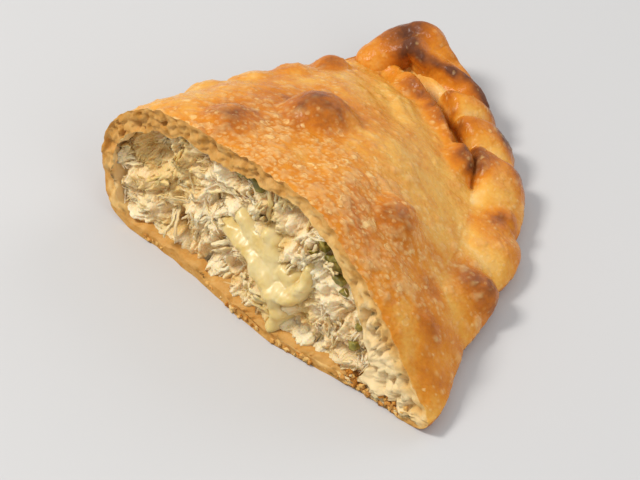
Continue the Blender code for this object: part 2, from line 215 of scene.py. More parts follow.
def new_piece(name, points, faces, **masks):
    """A mesh object from points in the pastry's plan; each mask, a number or vector a point, is kept."""
    mesh = bpy.data.meshes.new(name)
    mesh.from_pydata((np.asarray(points).reshape(-1, 3) * MM + CENTRE).tolist(), [], faces)
    for mask, values in masks.items():
        as_vector = np.ndim(values) == 2
        attribute = mesh.attributes.new(mask, "FLOAT_VECTOR" if as_vector else "FLOAT", "POINT")
        flat = np.asarray(values, np.float32).ravel()
        attribute.data.foreach_set("vector" if as_vector else "value", flat)
    mesh.shade_smooth()
    piece = bpy.data.objects.new(name, mesh)
    bpy.context.collection.objects.link(piece)
    print(f"{name}: {len(mesh.vertices)} points, {sum(len(f) - 2 for f in faces)} triangles")
    return piece


def tube_piece(name, grid, **masks):
    """One closed tube as a piece; a mask is a grid of values as wide and long as the tube's."""
    masks = {mask: with_poles(values) for mask, values in masks.items()}
    return new_piece(name, with_poles(grid), tube_faces(1, *grid.shape[:2]), **masks)


# %% [markdown]
# ## The dome and the fold
#
# Every section of the half runs from the fold, over the dome, down to the seam, out over the crimp,
# and back underneath. A section is one row of the grid, and its share says how far it has come
# from the cut, 0, to the tip, 1.

# %% Fold and dome
def fold_x(y):
    """The fold's X: a bulge out at the cut, which draws in as a power of the way to the tip."""
    t = np.clip(y / FOLD_END[1], 0, 1)
    return -FOLD_BULGE + (FOLD_END[0] + FOLD_BULGE) * t**FOLD_CURVE


def fold_height(y):
    """Height of the fold's middle, falling evenly from the cut to the tip."""
    return FOLD_MIDDLE + (FOLD_MIDDLE_TIP - FOLD_MIDDLE) * np.clip(y / FOLD_END[1], 0, 1)


def seam_height(angle):
    """The crimp is pressed flat near the cut, so there the dome runs on down it."""
    return SEAM_HEIGHT + (SEAM_HEIGHT_CUT - SEAM_HEIGHT) * fade(angle, FLAT_OVER)


def crest_height(x, y):
    """The dome's full height: lower by the fold, and falling as a power of the way to the tip."""
    sunk = FOLD_DROP * np.clip(1 - x / FOLD_DROP_OVER, 0, 1) ** 2
    return TOP - sunk - (TOP - CREST_TIP) * np.clip(y / FOLD_END[1], 0, 1) ** CREST_POWER


def dome_height(x, y, along, crest, inset=0.0):
    """A quarter circle up from the fold times a softer slope up from the seam."""
    angle = np.arctan2(y, np.maximum(x, 1e-3))
    edge = (1 - along) * fold_height(y) + along * seam_height(angle)
    from_seam = SEAM_RADIUS - inset - np.hypot(x, y)
    slope = 1 - (1 - np.clip(from_seam / RIM_SLOPE, 0, 1)) ** SLOPE_POWER
    return edge + (crest - edge) * slope * rounded(x - fold_x(y) - inset, FOLD_ROUND)


# %% The cut leans back, and its lower edge sags forward
def lean_back(x, z):
    """How far the cut lies behind Y = 0."""
    sag = CUT_SAG * fade(x - CUT_SAG_AT, CUT_SAG_WIDTH) * (1 - z / TOP)
    return math.tan(CUT_LEAN) * z - sag


def lean_cut(points):
    """Moves points back with the cut, fully at Y = 0 and less and less behind it."""
    x, y, z = np.moveaxis(points, -1, 0)
    near = np.clip(1 - y / CUT_FADE, 0, 1) ** CUT_FADE_POWER
    return np.stack([x, y + near * lean_back(x, z), z], -1)


# %% [markdown]
# ## The rope crimp
#
# Each lobe starts at a crease on the seam and slants outward towards the cut. Its side nearer the
# tip stands up as a sharp ridge, and it falls away gently to the next crease. The creases were
# pinched by hand, so their angles are a short list and not a rule.

# %% Lobes
SEAM_CREASES = np.radians([98, 70, 62.5, 55.5, 41, 30.5, 18, 5.5, -7])
RIM_CREASES = np.radians([88, 66.5, 61, 51.5, 38, 27, 14, 0, -14])
LOBE_HEIGHTS = (2.4, 5.2, 5.2, 4.6, 1.7, 1.5, 1.2, 1.0)
LOBE_RISES = (0.40, 0.42, 0.40, 0.15, 0.42, 0.45, 0.45, 0.45)
CREASE_BEND, LOBE_FALL = 0.85, 0.75
SCALLOP, ARCH, LOBE_SHARE = 1.8, 1.3, 0.72


def lobes(angle, across):
    """Height and mid-share of the lobe under each point: a quick rise, then a long fall."""
    height = np.zeros(np.broadcast(angle, across).shape)
    inside = np.zeros_like(height)
    bend = across**CREASE_BEND
    edges = [s + (r - s) * bend for s, r in zip(SEAM_CREASES, RIM_CREASES)]
    for start, stop, tall, rise in zip(edges, edges[1:], LOBE_HEIGHTS, LOBE_RISES):
        f = (start - angle) / (start - stop)
        here = (f >= 0) & (f < 1)
        up = rounded(f, rise)
        down = np.cos(0.5 * math.pi * np.clip((f - rise) / (1 - rise), 0, 1)) ** LOBE_FALL
        height = np.where(here, tall * up * down, height)
        inside = np.where(here, up * down, inside)
    return height, inside


def standing(angle):
    """How far the crimp stands up: fully by the tip, little where it is pressed flat by the cut."""
    return 1 - FLATTENED * fade(angle, FLAT_OVER)


def crimp_height(angle, across):
    """A slope down from seam to rim, under an arch and the lobes."""
    base = RIM_EDGE + (seam_height(angle) - RIM_EDGE) * (1 - across)
    arch = np.sqrt(np.maximum(0, 1 - (2 * across - 1) ** 2))
    tall, _ = lobes(angle, across)
    return base + arch * (ARCH * standing(angle) + LOBE_SHARE * tall)


def rim_radius(angle):
    """The rim's distance from the middle: spread at the cut, drawn in past it and at the tip."""
    spread = RIM_SPREAD * fade(angle, RIM_SPREAD_OVER)
    spread -= RIM_DRAWN * fade(angle - RIM_DRAWN_AT, RIM_DRAWN_OVER)
    spread -= TIP_DRAWN * fade(angle - TIP_ANGLE, TIP_DRAWN_OVER)
    _, inside = lobes(angle, np.ones_like(angle))
    return RIM_RADIUS + spread + SCALLOP * standing(angle) * (inside - 0.5)


# %% [markdown]
# ## The skin as one grid
#
# Columns are spaced by what they must show: close together where the fold turns and over the
# crimp, wider on the flat underside.

# %% Columns
STATIONS, STATIONS_POWER = 236, 1.12
DOME_COLUMNS, CRIMP_COLUMNS, UNDER_COLUMNS = 180, 54, 110
FOLD_SHARE, FOLD_COLUMNS = 0.24, 0.33


def dome_spacing():
    """From 0 on the fold to 1 on the seam, spaced round the fold as on a quarter circle."""
    u = np.linspace(0, 1, DOME_COLUMNS)
    turning = FOLD_SHARE * (1 - np.cos(0.5 * math.pi * np.clip(u / FOLD_COLUMNS, 0, 1)))
    return turning + (1 - FOLD_SHARE) * np.clip((u - FOLD_COLUMNS) / (1 - FOLD_COLUMNS), 0, 1)


def under_spacing():
    """From 0 on the rim to 1 on the fold, closer at both ends."""
    u = np.linspace(0, 1, UNDER_COLUMNS + 2)[1:-1]
    return u - 0.5 / math.pi * np.sin(2 * math.pi * u)


ALONG, UNDER = dome_spacing(), under_spacing()
ACROSS = (1 - np.cos(np.linspace(0, 1, CRIMP_COLUMNS + 1)[1:] * math.pi)) / 2
COLUMNS = DOME_COLUMNS + CRIMP_COLUMNS + UNDER_COLUMNS


def plan_of(share):
    """The fold and the ray of the seam for each row, as columns of numbers."""
    y = share[:, None] * FOLD_END[1]
    angle = share[:, None] * TIP_ANGLE
    fold = np.stack([fold_x(y), y], -1)
    ray = np.stack([np.cos(angle), np.sin(angle)], -1)
    return fold, ray, angle


# %% Outer and inner sections
def outer_grid(share):
    """The skin: dome, crimp and underside side by side, then leaned back with the cut."""
    fold, ray, angle = plan_of(share)
    plan = fold + (SEAM_RADIUS * ray - fold) * ALONG[None, :, None]
    x, y = np.moveaxis(plan, -1, 0)
    dome = np.dstack([plan, dome_height(x, y, ALONG, crest_height(x, y))])

    edge = rim_radius(angle)
    radius = SEAM_RADIUS + (edge - SEAM_RADIUS) * ACROSS
    crimp = np.dstack([radius[..., None] * ray, crimp_height(angle, ACROSS[None, :])])

    rim = edge[..., None] * ray
    plan = rim + (fold - rim) * UNDER[None, :, None]
    from_rim = np.linalg.norm(plan - rim, axis=-1)
    from_fold = np.linalg.norm(plan - fold, axis=-1)
    lift = RIM_EDGE * (1 - rounded(from_rim, RIM_ROUND_BELOW))
    lift = lift + fold_height(fold[..., 1]) * (1 - rounded(from_fold, FOLD_ROUND_BELOW))
    return lean_cut(np.hstack([dome, crimp, np.dstack([plan, lift])]))


def inner_grid(share):
    """The hollow's wall, column by column behind the skin."""
    fold, ray, angle = plan_of(share)
    seam = SEAM_RADIUS * ray
    toward = (seam - fold) / np.linalg.norm(seam - fold, axis=-1, keepdims=True)
    fold = fold + DOUGH_FOLD * toward
    seam = seam - DOUGH_SEAM * ray
    plan = fold + (seam - fold) * ALONG[None, :, None]
    x, y = np.moveaxis(plan, -1, 0)
    near_fold = np.clip((THIN_PAST - x) / (THIN_PAST - THICK_WITHIN), 0, 1)
    dough = DOUGH_TOP_RIM + (DOUGH_TOP_FOLD - DOUGH_TOP_RIM) * near_fold
    height = dome_height(x, y, ALONG, crest_height(x, y) - dough, DOUGH_FOLD)
    corner = DOUGH_BOTTOM + CORNER_SHARE * (seam_height(angle) - DOUGH_BOTTOM)
    height += (corner - seam_height(angle)) * ALONG**CORNER_POWER
    dome = np.dstack([plan, np.maximum(height, DOUGH_BOTTOM)])

    turn = (np.arange(1, CRIMP_COLUMNS + 1) / CRIMP_COLUMNS)[None, :, None]
    start = dome[:, -1:]
    stop = np.dstack([seam - CORNER_IN * ray, np.full(angle.shape, DOUGH_BOTTOM)])
    bulge = np.dstack([CORNER_BULGE * ray, np.zeros(angle.shape)]) * np.sin(math.pi * turn)
    wall = start + (stop - start) * turn + bulge

    plan = stop[..., :2] + (fold - stop[..., :2]) * UNDER[None, :, None]
    from_fold = np.linalg.norm(plan - fold, axis=-1)
    rise = dome[:, :1, 2] - DOUGH_BOTTOM
    floor = np.dstack([plan, DOUGH_BOTTOM + rise * (1 - rounded(from_fold, FOLD_ROUND_BELOW - DOUGH_FOLD))])
    return lean_cut(np.hstack([dome, wall, floor]))


share = np.linspace(0, 1, STATIONS) ** STATIONS_POWER
skin = outer_grid(share)
print("skin grid:", skin.shape, "highest", skin[..., 2].max().round(2), "mm")

# %% [markdown]
# ## Where the skin is uneven
#
# Slow noise makes the dough lumpy, and fine noise gives its grain. A crevice runs along the seam,
# deep beside the high lobes and only a crack beside the flat ones, and the dome's edge stands up as
# a lip over it. All of this is pushed along the surface's own normals, or straight up or down.

# %% Bumps, lumps, crevice and lip
BUMPS = (  # x, y, radius, height of the large blisters
    (28.9, 30.3, 9.0, 4.6), (21.0, 13.7, 7.0, 1.8), (58.0, 21.8, 6.6, 3.0), (8.0, 54.0, 5.0, 2.2),
    (7.5, 43.5, 6.0, 1.5), (4.5, 34.0, 5.5, 1.3), (1.0, 24.0, 5.0, 1.2), (46.0, 54.8, 5.4, 2.8),
    (61.5, 50.2, 3.8, 1.7), (72.6, 32.0, 4.6, 1.9), (75.8, 12.6, 2.5, 0.9), (37.0, 11.0, 7.0, 0.7),
    (44.0, 34.0, 9.0, 0.8), (66.5, 12.0, 5.0, 0.6), (-3.5, 12.0, 5.0, 1.0), (20.0, 66.0, 5.0, 1.0),
)
CREVICE_ANGLES = np.radians([0, 8, 16, 26, 36, 43, 47, 52, 57, 62, 68, 76, 84])
CREVICE_DEPTHS = (0, 0, 0.5, 0.2, 0.1, 0.5, 2.4, 3.6, 3.0, 2.4, 3.8, 3.8, 2.4)
LIP_HEIGHTS = (0, 0, 0, 0.1, 0.1, 0.4, 1.0, 1.2, 1.3, 1.6, 1.8, 1.4, 0.3)
CREVICE_WIDTH, LIP_WIDTH, LIP_BEHIND = 1.4, 1.6, 2.6
PLEAT_FROM, PLEAT_WIDTH = math.radians(48), math.radians(8)
LUMP_HEIGHT, LUMP_SIZE = 0.45, 13
PLEAT_HEIGHT, PLEAT_SIZE = 0.85, 2.6
FLAKE_HEIGHT, FLAKE_SIZE, FLAKE_WIDTH = 0.45, 2.4, 3.0
BLISTER_POWER = 1.4


def bump_height(points, bumps):
    """Each bump is a cap: full height in the middle, steep near its radius, flat past it."""
    total = np.zeros(points.shape[:2])
    for x, y, radius, height in bumps:
        off = np.hypot(points[..., 0] - x, points[..., 1] - y) + 3.0 * (points[..., 2] < 4)
        centre = points.reshape(-1, 3)[off.argmin()]
        d = np.linalg.norm(points - centre, axis=-1) / radius
        d = d * (1 + 0.12 * smooth_noise(points, 7, 8))
        total += height * np.clip(1 - d * d, 0, 1) ** BLISTER_POWER
    return total


def seam_line(points):
    """Angle about the middle, and distance outward of the wavering seam."""
    x, y = points[..., 0], points[..., 1]
    angle = np.arctan2(y, np.maximum(x, 1e-3))
    waver = 0.5 * np.sin(9 * angle + 1) + 0.35 * np.sin(23 * angle)
    return angle, np.hypot(x, y) - SEAM_RADIUS - waver


angle, from_seam = seam_line(skin)
column = np.broadcast_to(np.arange(COLUMNS), skin.shape[:2])
on_top = column < DOME_COLUMNS + CRIMP_COLUMNS
on_crimp = on_top & (column >= DOME_COLUMNS)
under = step(column.astype(float), DOME_COLUMNS + CRIMP_COLUMNS - 4, DOME_COLUMNS + CRIMP_COLUMNS + 6)
under *= 1 - step(column.astype(float), COLUMNS - 44, COLUMNS - 16)

normal = grid_normals(skin, closed=True)
lumps = LUMP_HEIGHT * rough_noise(skin, LUMP_SIZE, 3, seed=1) * (1 - 0.7 * under)
bumps = bump_height(skin, BUMPS)
stretched = np.stack([0.55 * (SEAM_RADIUS + from_seam), 9 * angle, 0 * angle], -1)
pleats = rough_noise(stretched, PLEAT_SIZE, 2, 71) * step(angle, PLEAT_FROM, PLEAT_FROM + PLEAT_WIDTH)
pleats *= PLEAT_HEIGHT * step(from_seam, -22, -10) * (1 - step(from_seam, -1, 1)) * on_top
crevice = np.interp(angle, CREVICE_ANGLES, CREVICE_DEPTHS) * fade(from_seam, CREVICE_WIDTH) * on_top
lip = np.interp(angle, CREVICE_ANGLES, LIP_HEIGHTS) * fade(from_seam + LIP_BEHIND, LIP_WIDTH) * on_top
flaky = fade(from_seam + LIP_BEHIND, FLAKE_WIDTH) * step(angle, CREVICE_ANGLES[6], CREVICE_ANGLES[7]) * on_top
pleats += FLAKE_HEIGHT * flaky * rough_noise(skin, FLAKE_SIZE, 3, 73)
skin = skin + normal * (lumps + bumps + pleats)[..., None]
skin[..., 2] += lip - crevice


def soften(points, share, passes):
    """Moves each point part of the way to the middle of its neighbours in its own section."""
    for _ in range(passes):
        between = (np.roll(points, 1, axis=1) + np.roll(points, -1, axis=1)) / 2
        points = points + share[..., None] * (between - points)
    return points


PRESSED_BEFORE, PRESSED_WIDTH, PRESSED_SHARE, PRESSED_PASSES = np.radians([38, 47]), 4.5, 0.9, 60
pressed = (1 - step(angle, *PRESSED_BEFORE)) * fade(from_seam, PRESSED_WIDTH) * on_top
skin = soften(skin, PRESSED_SHARE * pressed, PRESSED_PASSES)
normal = grid_normals(skin, closed=True)
print("crevice down to", crevice.max().round(2), "mm, lip up to", lip.max().round(2), "mm")

# %% [markdown]
# ## Fine blisters
#
# Frying dough throws up hundreds of small bubbles. The larger ones have collapsed and leave a pale
# ring, with a painted highlight in its middle, and the small ones stay as pale dots. They crowd the
# dome near the cut. Each is stamped on its own small window of the grid, so nearly two thousand of
# them take a moment.

# %% Stamping fine blisters
FINE_BLISTERS, WINDOW = 1900, 16
BLISTER_SIZES = (0.28, 1.5)
SMALLER_PAST, SMALLER_BY = 42, 0.8
HOLLOW_FROM, HOLLOW_AT = 0.62, 0.95
GRAIN_HEIGHT, GRAIN_SIZE = 0.10, 2.2
blister_rng = np.random.default_rng(5)


def cell_areas(points):
    """Area of the grid's cell at each point: the cross product of its two sides."""
    across = np.gradient(points, axis=1)
    return np.linalg.norm(np.cross(across, np.gradient(points, axis=0)), axis=-1)


def crowding(points):
    """How crowded the fine blisters are: most on the dome beside the cut, few on the plain side."""
    x, y = points[..., 0], points[..., 1]
    near_cut = fade(y - 6, 20) * step(x, 8, 24) * (1 - step(x, 62, 76))
    plain = fade(np.hypot(x - 50, (y - 36) * 1.2), 15)
    return np.clip(0.30 + 1.5 * near_cut - 0.12 * plain + 0.25 * smooth_noise(points, 9, 3), 0.03, None)


def stamp_blisters(points, count):
    """Height and paleness of all fine blisters, as two grids; the paleness holds a painted highlight in the
    middle of collapsed ones.
    """
    height, pale = np.zeros(points.shape[:2]), np.zeros(points.shape[:2])
    rows, columns = points.shape[:2]
    uneven = 1 + 0.75 * smooth_noise(points, 1.5, 9)
    broken = np.clip(0.55 + 0.9 * smooth_noise(points, 1.0, 10), 0.1, 1.1)
    weight = cell_areas(points) * crowding(points) * (on_top + 0.12 * (1 - on_top))
    picks = blister_rng.choice(points[..., 0].size, count, replace=False, p=(weight / weight.sum()).ravel())
    sizes = np.clip(blister_rng.lognormal(-0.72, 0.45, count), *BLISTER_SIZES)
    sizes = np.where(points.reshape(-1, 3)[picks, 1] > SMALLER_PAST, SMALLER_BY * sizes, sizes)
    for pick, size in zip(picks, sizes):
        row, col = divmod(int(pick), columns)
        window = tuple(slice(max(at - WINDOW, 0), at + WINDOW + 1) for at in (row, col))
        d = np.linalg.norm(points[window] - points[row, col], axis=-1) / size * uneven[window]
        dome = np.clip(1 - d * d, 0, 1) ** 1.5
        ring = fade(d - 0.70, 0.24) * (d < 1.3) * broken[window]
        hollow = step(size, HOLLOW_FROM, HOLLOW_AT) * blister_rng.uniform(0.2, 1)
        tall = size * (0.36 - 0.12 * hollow)
        height[window] = np.maximum(height[window], tall * ((1 - 0.55 * hollow) * dome + 0.8 * hollow * ring))
        # The ring and the small dots are pale dough; what is left pale in the middle of a collapsed blister
        # is a painted highlight.
        pale_and_highlight = ((1 - 0.6 * hollow) * dome + hollow * ring) * blister_rng.uniform(0.35, 1)
        pale[window] = np.maximum(pale[window], pale_and_highlight)
    return height, np.clip(pale, 0, 1)


fine, pale = stamp_blisters(skin, FINE_BLISTERS)
grain = GRAIN_HEIGHT * smooth_noise(skin, GRAIN_SIZE, seed=21)
skin = skin + normal * (fine + grain)[..., None]
covered = round(float((pale > 0.3).mean()) * 100)
print("fine blisters up to", fine.max().round(2), "mm high, covering", covered, "%")

# %% [markdown]
# ## How far each point is fried
#
# Colour on fried dough is a matter of heat: whatever stands out browns first, creases and crevices
# stay paler, and the underside is darker. One number says how browned a point is, and the material
# turns it into a colour. Some patches are darker than any rule gives, so they are listed.

# %% Browning
BROWN_PATCHES = (  # x, y, radius, amount
    (28.9, 30.3, 8.5, 0.44), (21.0, 13.7, 6.5, 0.28), (58.8, 21.0, 5.0, 0.27), (8.3, 52.9, 4.5, 0.34),
    (7.0, 41.0, 6.0, 0.16), (61.2, 49.8, 3.4, 0.54), (72.8, 32.3, 3.8, 0.32), (75.8, 12.1, 2.2, 0.22),
    (80.6, 5.6, 4.0, 0.16), (62.0, 10.0, 7.0, 0.10), (78.8, 19.0, 3.0, 0.14), (46.0, 55.4, 4.2, 0.44),
    (43.6, 59.4, 2.6, 0.24), (69.8, 19.5, 2.8, 0.26), (17.0, 29.0, 5.0, 0.10), (20.6, 64.7, 2.6, 0.30),
    (25.4, 64.8, 2.6, 0.38), (30.0, 63.4, 2.4, 0.30), (35.0, 60.8, 2.6, 0.40), (40.0, 58.5, 2.4, 0.20),
    (49.0, 54.0, 3.0, 0.30), (28.2, 69.5, 1.8, 0.30), (32.8, 65.0, 1.8, 0.36), (41.5, 71.8, 2.8, 0.34),
    (44.8, 69.6, 2.2, 0.30), (36.0, 76.0, 2.4, 0.22), (53.5, 63.0, 2.4, 0.16), (69.5, 30.0, 2.5, 0.10),
    (80.5, 27.0, 3.0, 0.14),
)


def patches(x, y, sharper=1.0):
    """The sum of the listed brown patches, each a bell of its radius; a higher power narrows it."""
    return sum(amount * fade(np.hypot(x - px, y - py), radius) ** sharper
               for px, py, radius, amount in BROWN_PATCHES)


def browning(points, crevice, crimped):
    """An even tone, slow and fine noise, warmer near the cut and on the rope, and the patches."""
    x, y, z = np.moveaxis(points, -1, 0)
    tone = 0.34 + 0.09 * rough_noise(points, 16, 2, 41) + 0.08 * rough_noise(points, 4.5, 2, 43)
    tone += 0.13 * fade(y - 2, 24) * step(x, 4, 22) * (1 - step(x, 66, 84))
    tone -= 0.07 * fade(np.hypot(x - 50, (y - 38) * 1.1), 14)
    tone += 0.16 * step(np.degrees(np.arctan2(y, np.maximum(x, 1e-3))), 44, 60) * fade(np.hypot(x, y) - 69, 4)
    uneven = 1 + 0.35 * rough_noise(points, 3, 2, 45)
    tone += patches(x, y) * (1 - 0.75 * under) * uneven + crimped
    tone -= 0.04 * crevice + 0.12 * step(crevice, 1.4, 2.8)
    return tone


_, inside = lobes(angle, np.clip(from_seam / (RIM_RADIUS - SEAM_RADIUS), 0, 1))
ridge = 0.28 * inside**3 - 0.20 * (1 - inside) + 0.16 * fade(from_seam - 10.5, 2.0) - 0.06
ridge = ridge * on_crimp
ridge = ridge * (0.5 + 0.5 * step(angle, math.radians(36), math.radians(48)))
browned = browning(skin, crevice, ridge) + 0.24 * under + 0.3 * fine
bare = 1 - 0.75 * np.clip(3.5 * patches(skin[..., 0], skin[..., 1], 2.0), 0, 1)
print("browning from", browned.min().round(2), "to", browned.max().round(2))

# %% [markdown]
# ## The cut dough and the hollow
#
# At the cut the dough's own thickness shows: a ring of crumb between the skin and the hollow, full
# of small bubbles, rougher where it is thick. Behind it the hollow's wall runs on part of the way to
# the tip, farther than an eye can see past the filling.

# %% Crumb ring and hollow
RING_ROWS, WALL_ROWS, WALL_END = 24, 20, 0.40
BUBBLE_SIZE, BUBBLE_DEPTH, TEAR_SIZE, TEAR_HEIGHT = 2.3, 1.9, 1.3, 0.65
LOW_EDGE, LOW_EDGE_STOPS, LOW_EDGE_SMOOTH = (1.8, 3.5), (62, 70), 0.92
JUST_ABOVE_FLOOR = 0.02

wall = inner_grid(np.linspace(WALL_END, 0, WALL_ROWS))
uneven = 0.35 + 0.6 * (1 - step(wall[..., 0], 30, 60))
wall += grid_normals(wall, closed=True) * (uneven * rough_noise(wall, 4, 3, 51))[..., None]
across_ring = ((1 - np.cos(np.linspace(0, 1, RING_ROWS + 2)[1:-1] * math.pi)) / 2)[:, None, None]
ring = wall[-1:] + (skin[:1] - wall[-1:]) * across_ring
thick = np.linalg.norm(skin[0] - wall[-1], axis=-1)[None, :]
porous = np.clip(thick / 5, 0.25, 1.3) * (1 - 0.5 * fade(ring[..., 0] - 57, 10) * step(ring[..., 2], 5, 9))
bubbles = np.clip(rough_noise(ring, BUBBLE_SIZE, 2, 61) - 0.05, 0, 1) ** 0.7
torn = np.clip(np.minimum(across_ring[..., 0], 1 - across_ring[..., 0]) * 4, 0.15, 1)
low_edge = (1 - step(ring[..., 2], *LOW_EDGE)) * (1 - step(ring[..., 0], *LOW_EDGE_STOPS))
torn = torn * (1 - LOW_EDGE_SMOOTH * low_edge)
tears = TEAR_HEIGHT * rough_noise(ring, TEAR_SIZE, 3, 63)
ring[..., 1] += (BUBBLE_DEPTH * bubbles + tears) * porous * torn

shell = np.vstack([wall, ring, skin])
at_cut = fade(shell[..., 1] - lean_back(shell[..., 0], shell[..., 2]), 2.2)
at_cut_high = at_cut * step(shell[..., 2], *LOW_EDGE)
waves = 0.45 * at_cut * smooth_noise(shell, 4.5, 67)
shell[..., 1] += waves + 0.4 * at_cut_high * rough_noise(shell, 1.8, 2, 68)
shell[..., 2] += 0.25 * at_cut * rough_noise(shell, 2.5, 2, 69) * step(shell[..., 2], 0.5, 3)
shell[..., 2] = np.maximum(shell[..., 2], JUST_ABOVE_FLOOR)


def whole_mask(on_wall, on_ring, on_skin):
    """One value per point of the shell, in the order wall, ring, skin, with 0 at both poles."""
    parts = ((on_wall, wall), (on_ring, ring), (on_skin, skin))
    rows = [np.broadcast_to(part, grid.shape[:2]).ravel() for part, grid in parts]
    return np.concatenate([[0], *rows, [0]])


edge_crumb = (1 - step(skin[..., 1] - lean_back(skin[..., 0], skin[..., 2]), 0.0, 0.5)) * 0.6
edge_crumb[1:] *= 0
ring_x, _, ring_z = np.moveaxis(ring, -1, 0)
# Painted shade: the crumb is darker in its bubbles, the deeper the pit.
ring_tone = 0.10 + 0.30 * bubbles + 0.12 * rough_noise(ring, 3, 2, 65) + 0.22 * (1 - step(ring_x, 30, 58))
ring_tone += 0.30 * step(across_ring[..., 0], 0.45, 1.0) + 0.35 * (1 - step(ring_z, 0.3, 1.6))
ring_tone += 0.20 * step(ring_z, 10, 14) - 0.16 * step(ring_x, 63, 70)
ring_tone += 0.25 * (1 - step(ring_z, 2.0, 3.5)) * (1 - step(ring_x, 62, 68))
ring_tone = np.minimum(ring_tone, 0.52 + 0.08 * smooth_noise(ring, 1.5, 66))
crust = new_piece(
    "fried_crust", with_poles(shell), tube_faces(1, *shell.shape[:2]),
    browned=whole_mask(0.2 + 0.3 * (1 - step(wall[..., 2], 2, 5)), ring_tone, browned),
    pale=whole_mask(0, 0, pale * bare),
    crumb=whole_mask(1, 1, edge_crumb),
    crowd=whole_mask(0, 0, np.clip(crowding(skin) * 0.75, 0, 1) * (1 - under) * bare),
)

# %% [markdown]
# ## The twisted tip
#
# At the tip the rope is rolled up on itself: a thick knob grows out of the fold there, and a strand
# runs from it along the seam and dies away. It could be sculpted, but one tube along a curved path
# says the same in a few numbers. A crest winds slowly round it, with a groove on each side, and the
# crest is the part that burns.

# %% Tube along a path
TIP_PATH = (  # x, y, z, radius
    (5.6, 64.6, 5.8, 3.6), (7.8, 70.2, 8.2, 4.5), (10.4, 74.8, 10.2, 5.0), (13.2, 76.6, 11.0, 5.4),
    (17.0, 76.0, 9.4, 4.9), (21.0, 75.4, 7.8, 4.5), (26.0, 74.6, 6.8, 4.3), (30.5, 73.8, 5.4, 3.9),
    (35.0, 72.4, 4.0, 2.8),
)
TIP_RINGS, TIP_SIDES = 150, 72
CREST_FROM, CREST_TO = -1.10, 0.75
TIP_CROWD = 0.12
KNOB_AT, KNOB_LENGTH, KNOB_TURN, KNOB_DENT = 0.30, 0.035, 0.2, 0.13


def curve(points, count):
    """A smooth curve through the points, by Catmull and Rom's cubic between each two."""
    points = np.asarray(points, float)
    ends = np.vstack([2 * points[0] - points[1], points, 2 * points[-1] - points[-2]])
    place = np.linspace(0, len(points) - 1 - 1e-6, count)
    k, t = place.astype(int), (place % 1)[:, None]
    a, b, c, d = (ends[k + offset] for offset in range(4))
    return b + 0.5 * t * (c - a + t * (2 * a - 5 * b + 4 * c - d + t * (3 * (b - c) + d - a)))


def tube(path, rings, sides):
    """Centre line, radii and cross directions of a tube, and the angle from up towards outside."""
    line = curve(path, rings)
    centre, radius = line[:, None, :3], line[:, None, 3]
    forward = np.gradient(line[:, :3], axis=0)
    forward = (forward / np.linalg.norm(forward, axis=-1, keepdims=True))[:, None]
    outward = np.cross([0, 0, 1], forward)
    outward /= np.linalg.norm(outward, axis=-1, keepdims=True)
    rise = np.cross(forward, outward)
    turn = -np.linspace(0, 2 * math.pi, sides, endpoint=False)[None, :]
    return centre, radius, rise, outward, turn


def around(turn, place):
    """Shortest signed angle from place to turn."""
    return (turn - place + math.pi) % (2 * math.pi) - math.pi


centre, radius, rise, outward, turn = tube(TIP_PATH, TIP_RINGS, TIP_SIDES)
run = np.linspace(0, 1, TIP_RINGS)[:, None]
crest = around(turn, CREST_FROM + (CREST_TO - CREST_FROM) * step(run, 0.32, 1.05))
ends = rounded(run, 0.07) * rounded(1 - run, 0.07)
strength = step(run, 0.12, 0.3)
grooves = 0.24 * fade(crest - 0.80, 0.36) + 0.16 * fade(crest + 0.85, 0.4)
profile = 1 + strength * (0.20 * fade(crest, 0.38) - grooves)
knob_fold = (run - KNOB_AT) / KNOB_LENGTH + 0.7 * around(turn, KNOB_TURN)
profile = profile - KNOB_DENT * fade(knob_fold, 1.0) * fade(around(turn, 0.1), 1.3)
out = np.cos(turn)[..., None] * rise + np.sin(turn)[..., None] * outward
twisted = centre + (radius * ends * profile)[..., None] * out
twisted = twisted + out * (0.35 * rough_noise(twisted, 6, 3, 101))[..., None]
twisted += out * (0.08 * rough_noise(twisted, 1.8, 2, 103))[..., None]
twisted[..., 2] = np.maximum(twisted[..., 2], 0.05)
tip_brown = 0.48 + 0.60 * strength * fade(crest, 0.34) * (0.7 + 0.5 * rough_noise(twisted, 5, 2, 105))
tip_brown += 0.42 * fade(knob_fold - 0.6, 2.6) * fade(around(turn, -0.1), 1.3) + 0.22 * fade(run - 0.22, 0.09)
tip_brown += 0.14 * rough_noise(twisted, 6, 3, 107) - 0.08 * fade(crest + 1.2, 0.6) * strength
tip_brown += 0.20 * fade(crest - 1.6, 0.5) * step(run, 0.6, 0.9) + 0.08 * step(run, 0.35, 0.5)
none = 0 * tip_brown
twist = tube_piece("twisted_tip", twisted, browned=tip_brown, pale=none, crumb=none, crowd=none + TIP_CROWD)

# %% [markdown]
# ## Fried dough as a material
#
# Fried dough is pale gold where it is bare, then amber, then nearly black where it burnt, and it has
# a thin shine of oil. A picture could be wrapped round it, but a ramp of colours looked up at the
# number for browning holds from every side. Rings of collapsed bubbles that are finer than the grid
# come from a Voronoi pattern: one ring in a cell, kept where the skin is crowded with them.
#
# A class keeps the nodes of one material together, so that each line below reads like a formula.

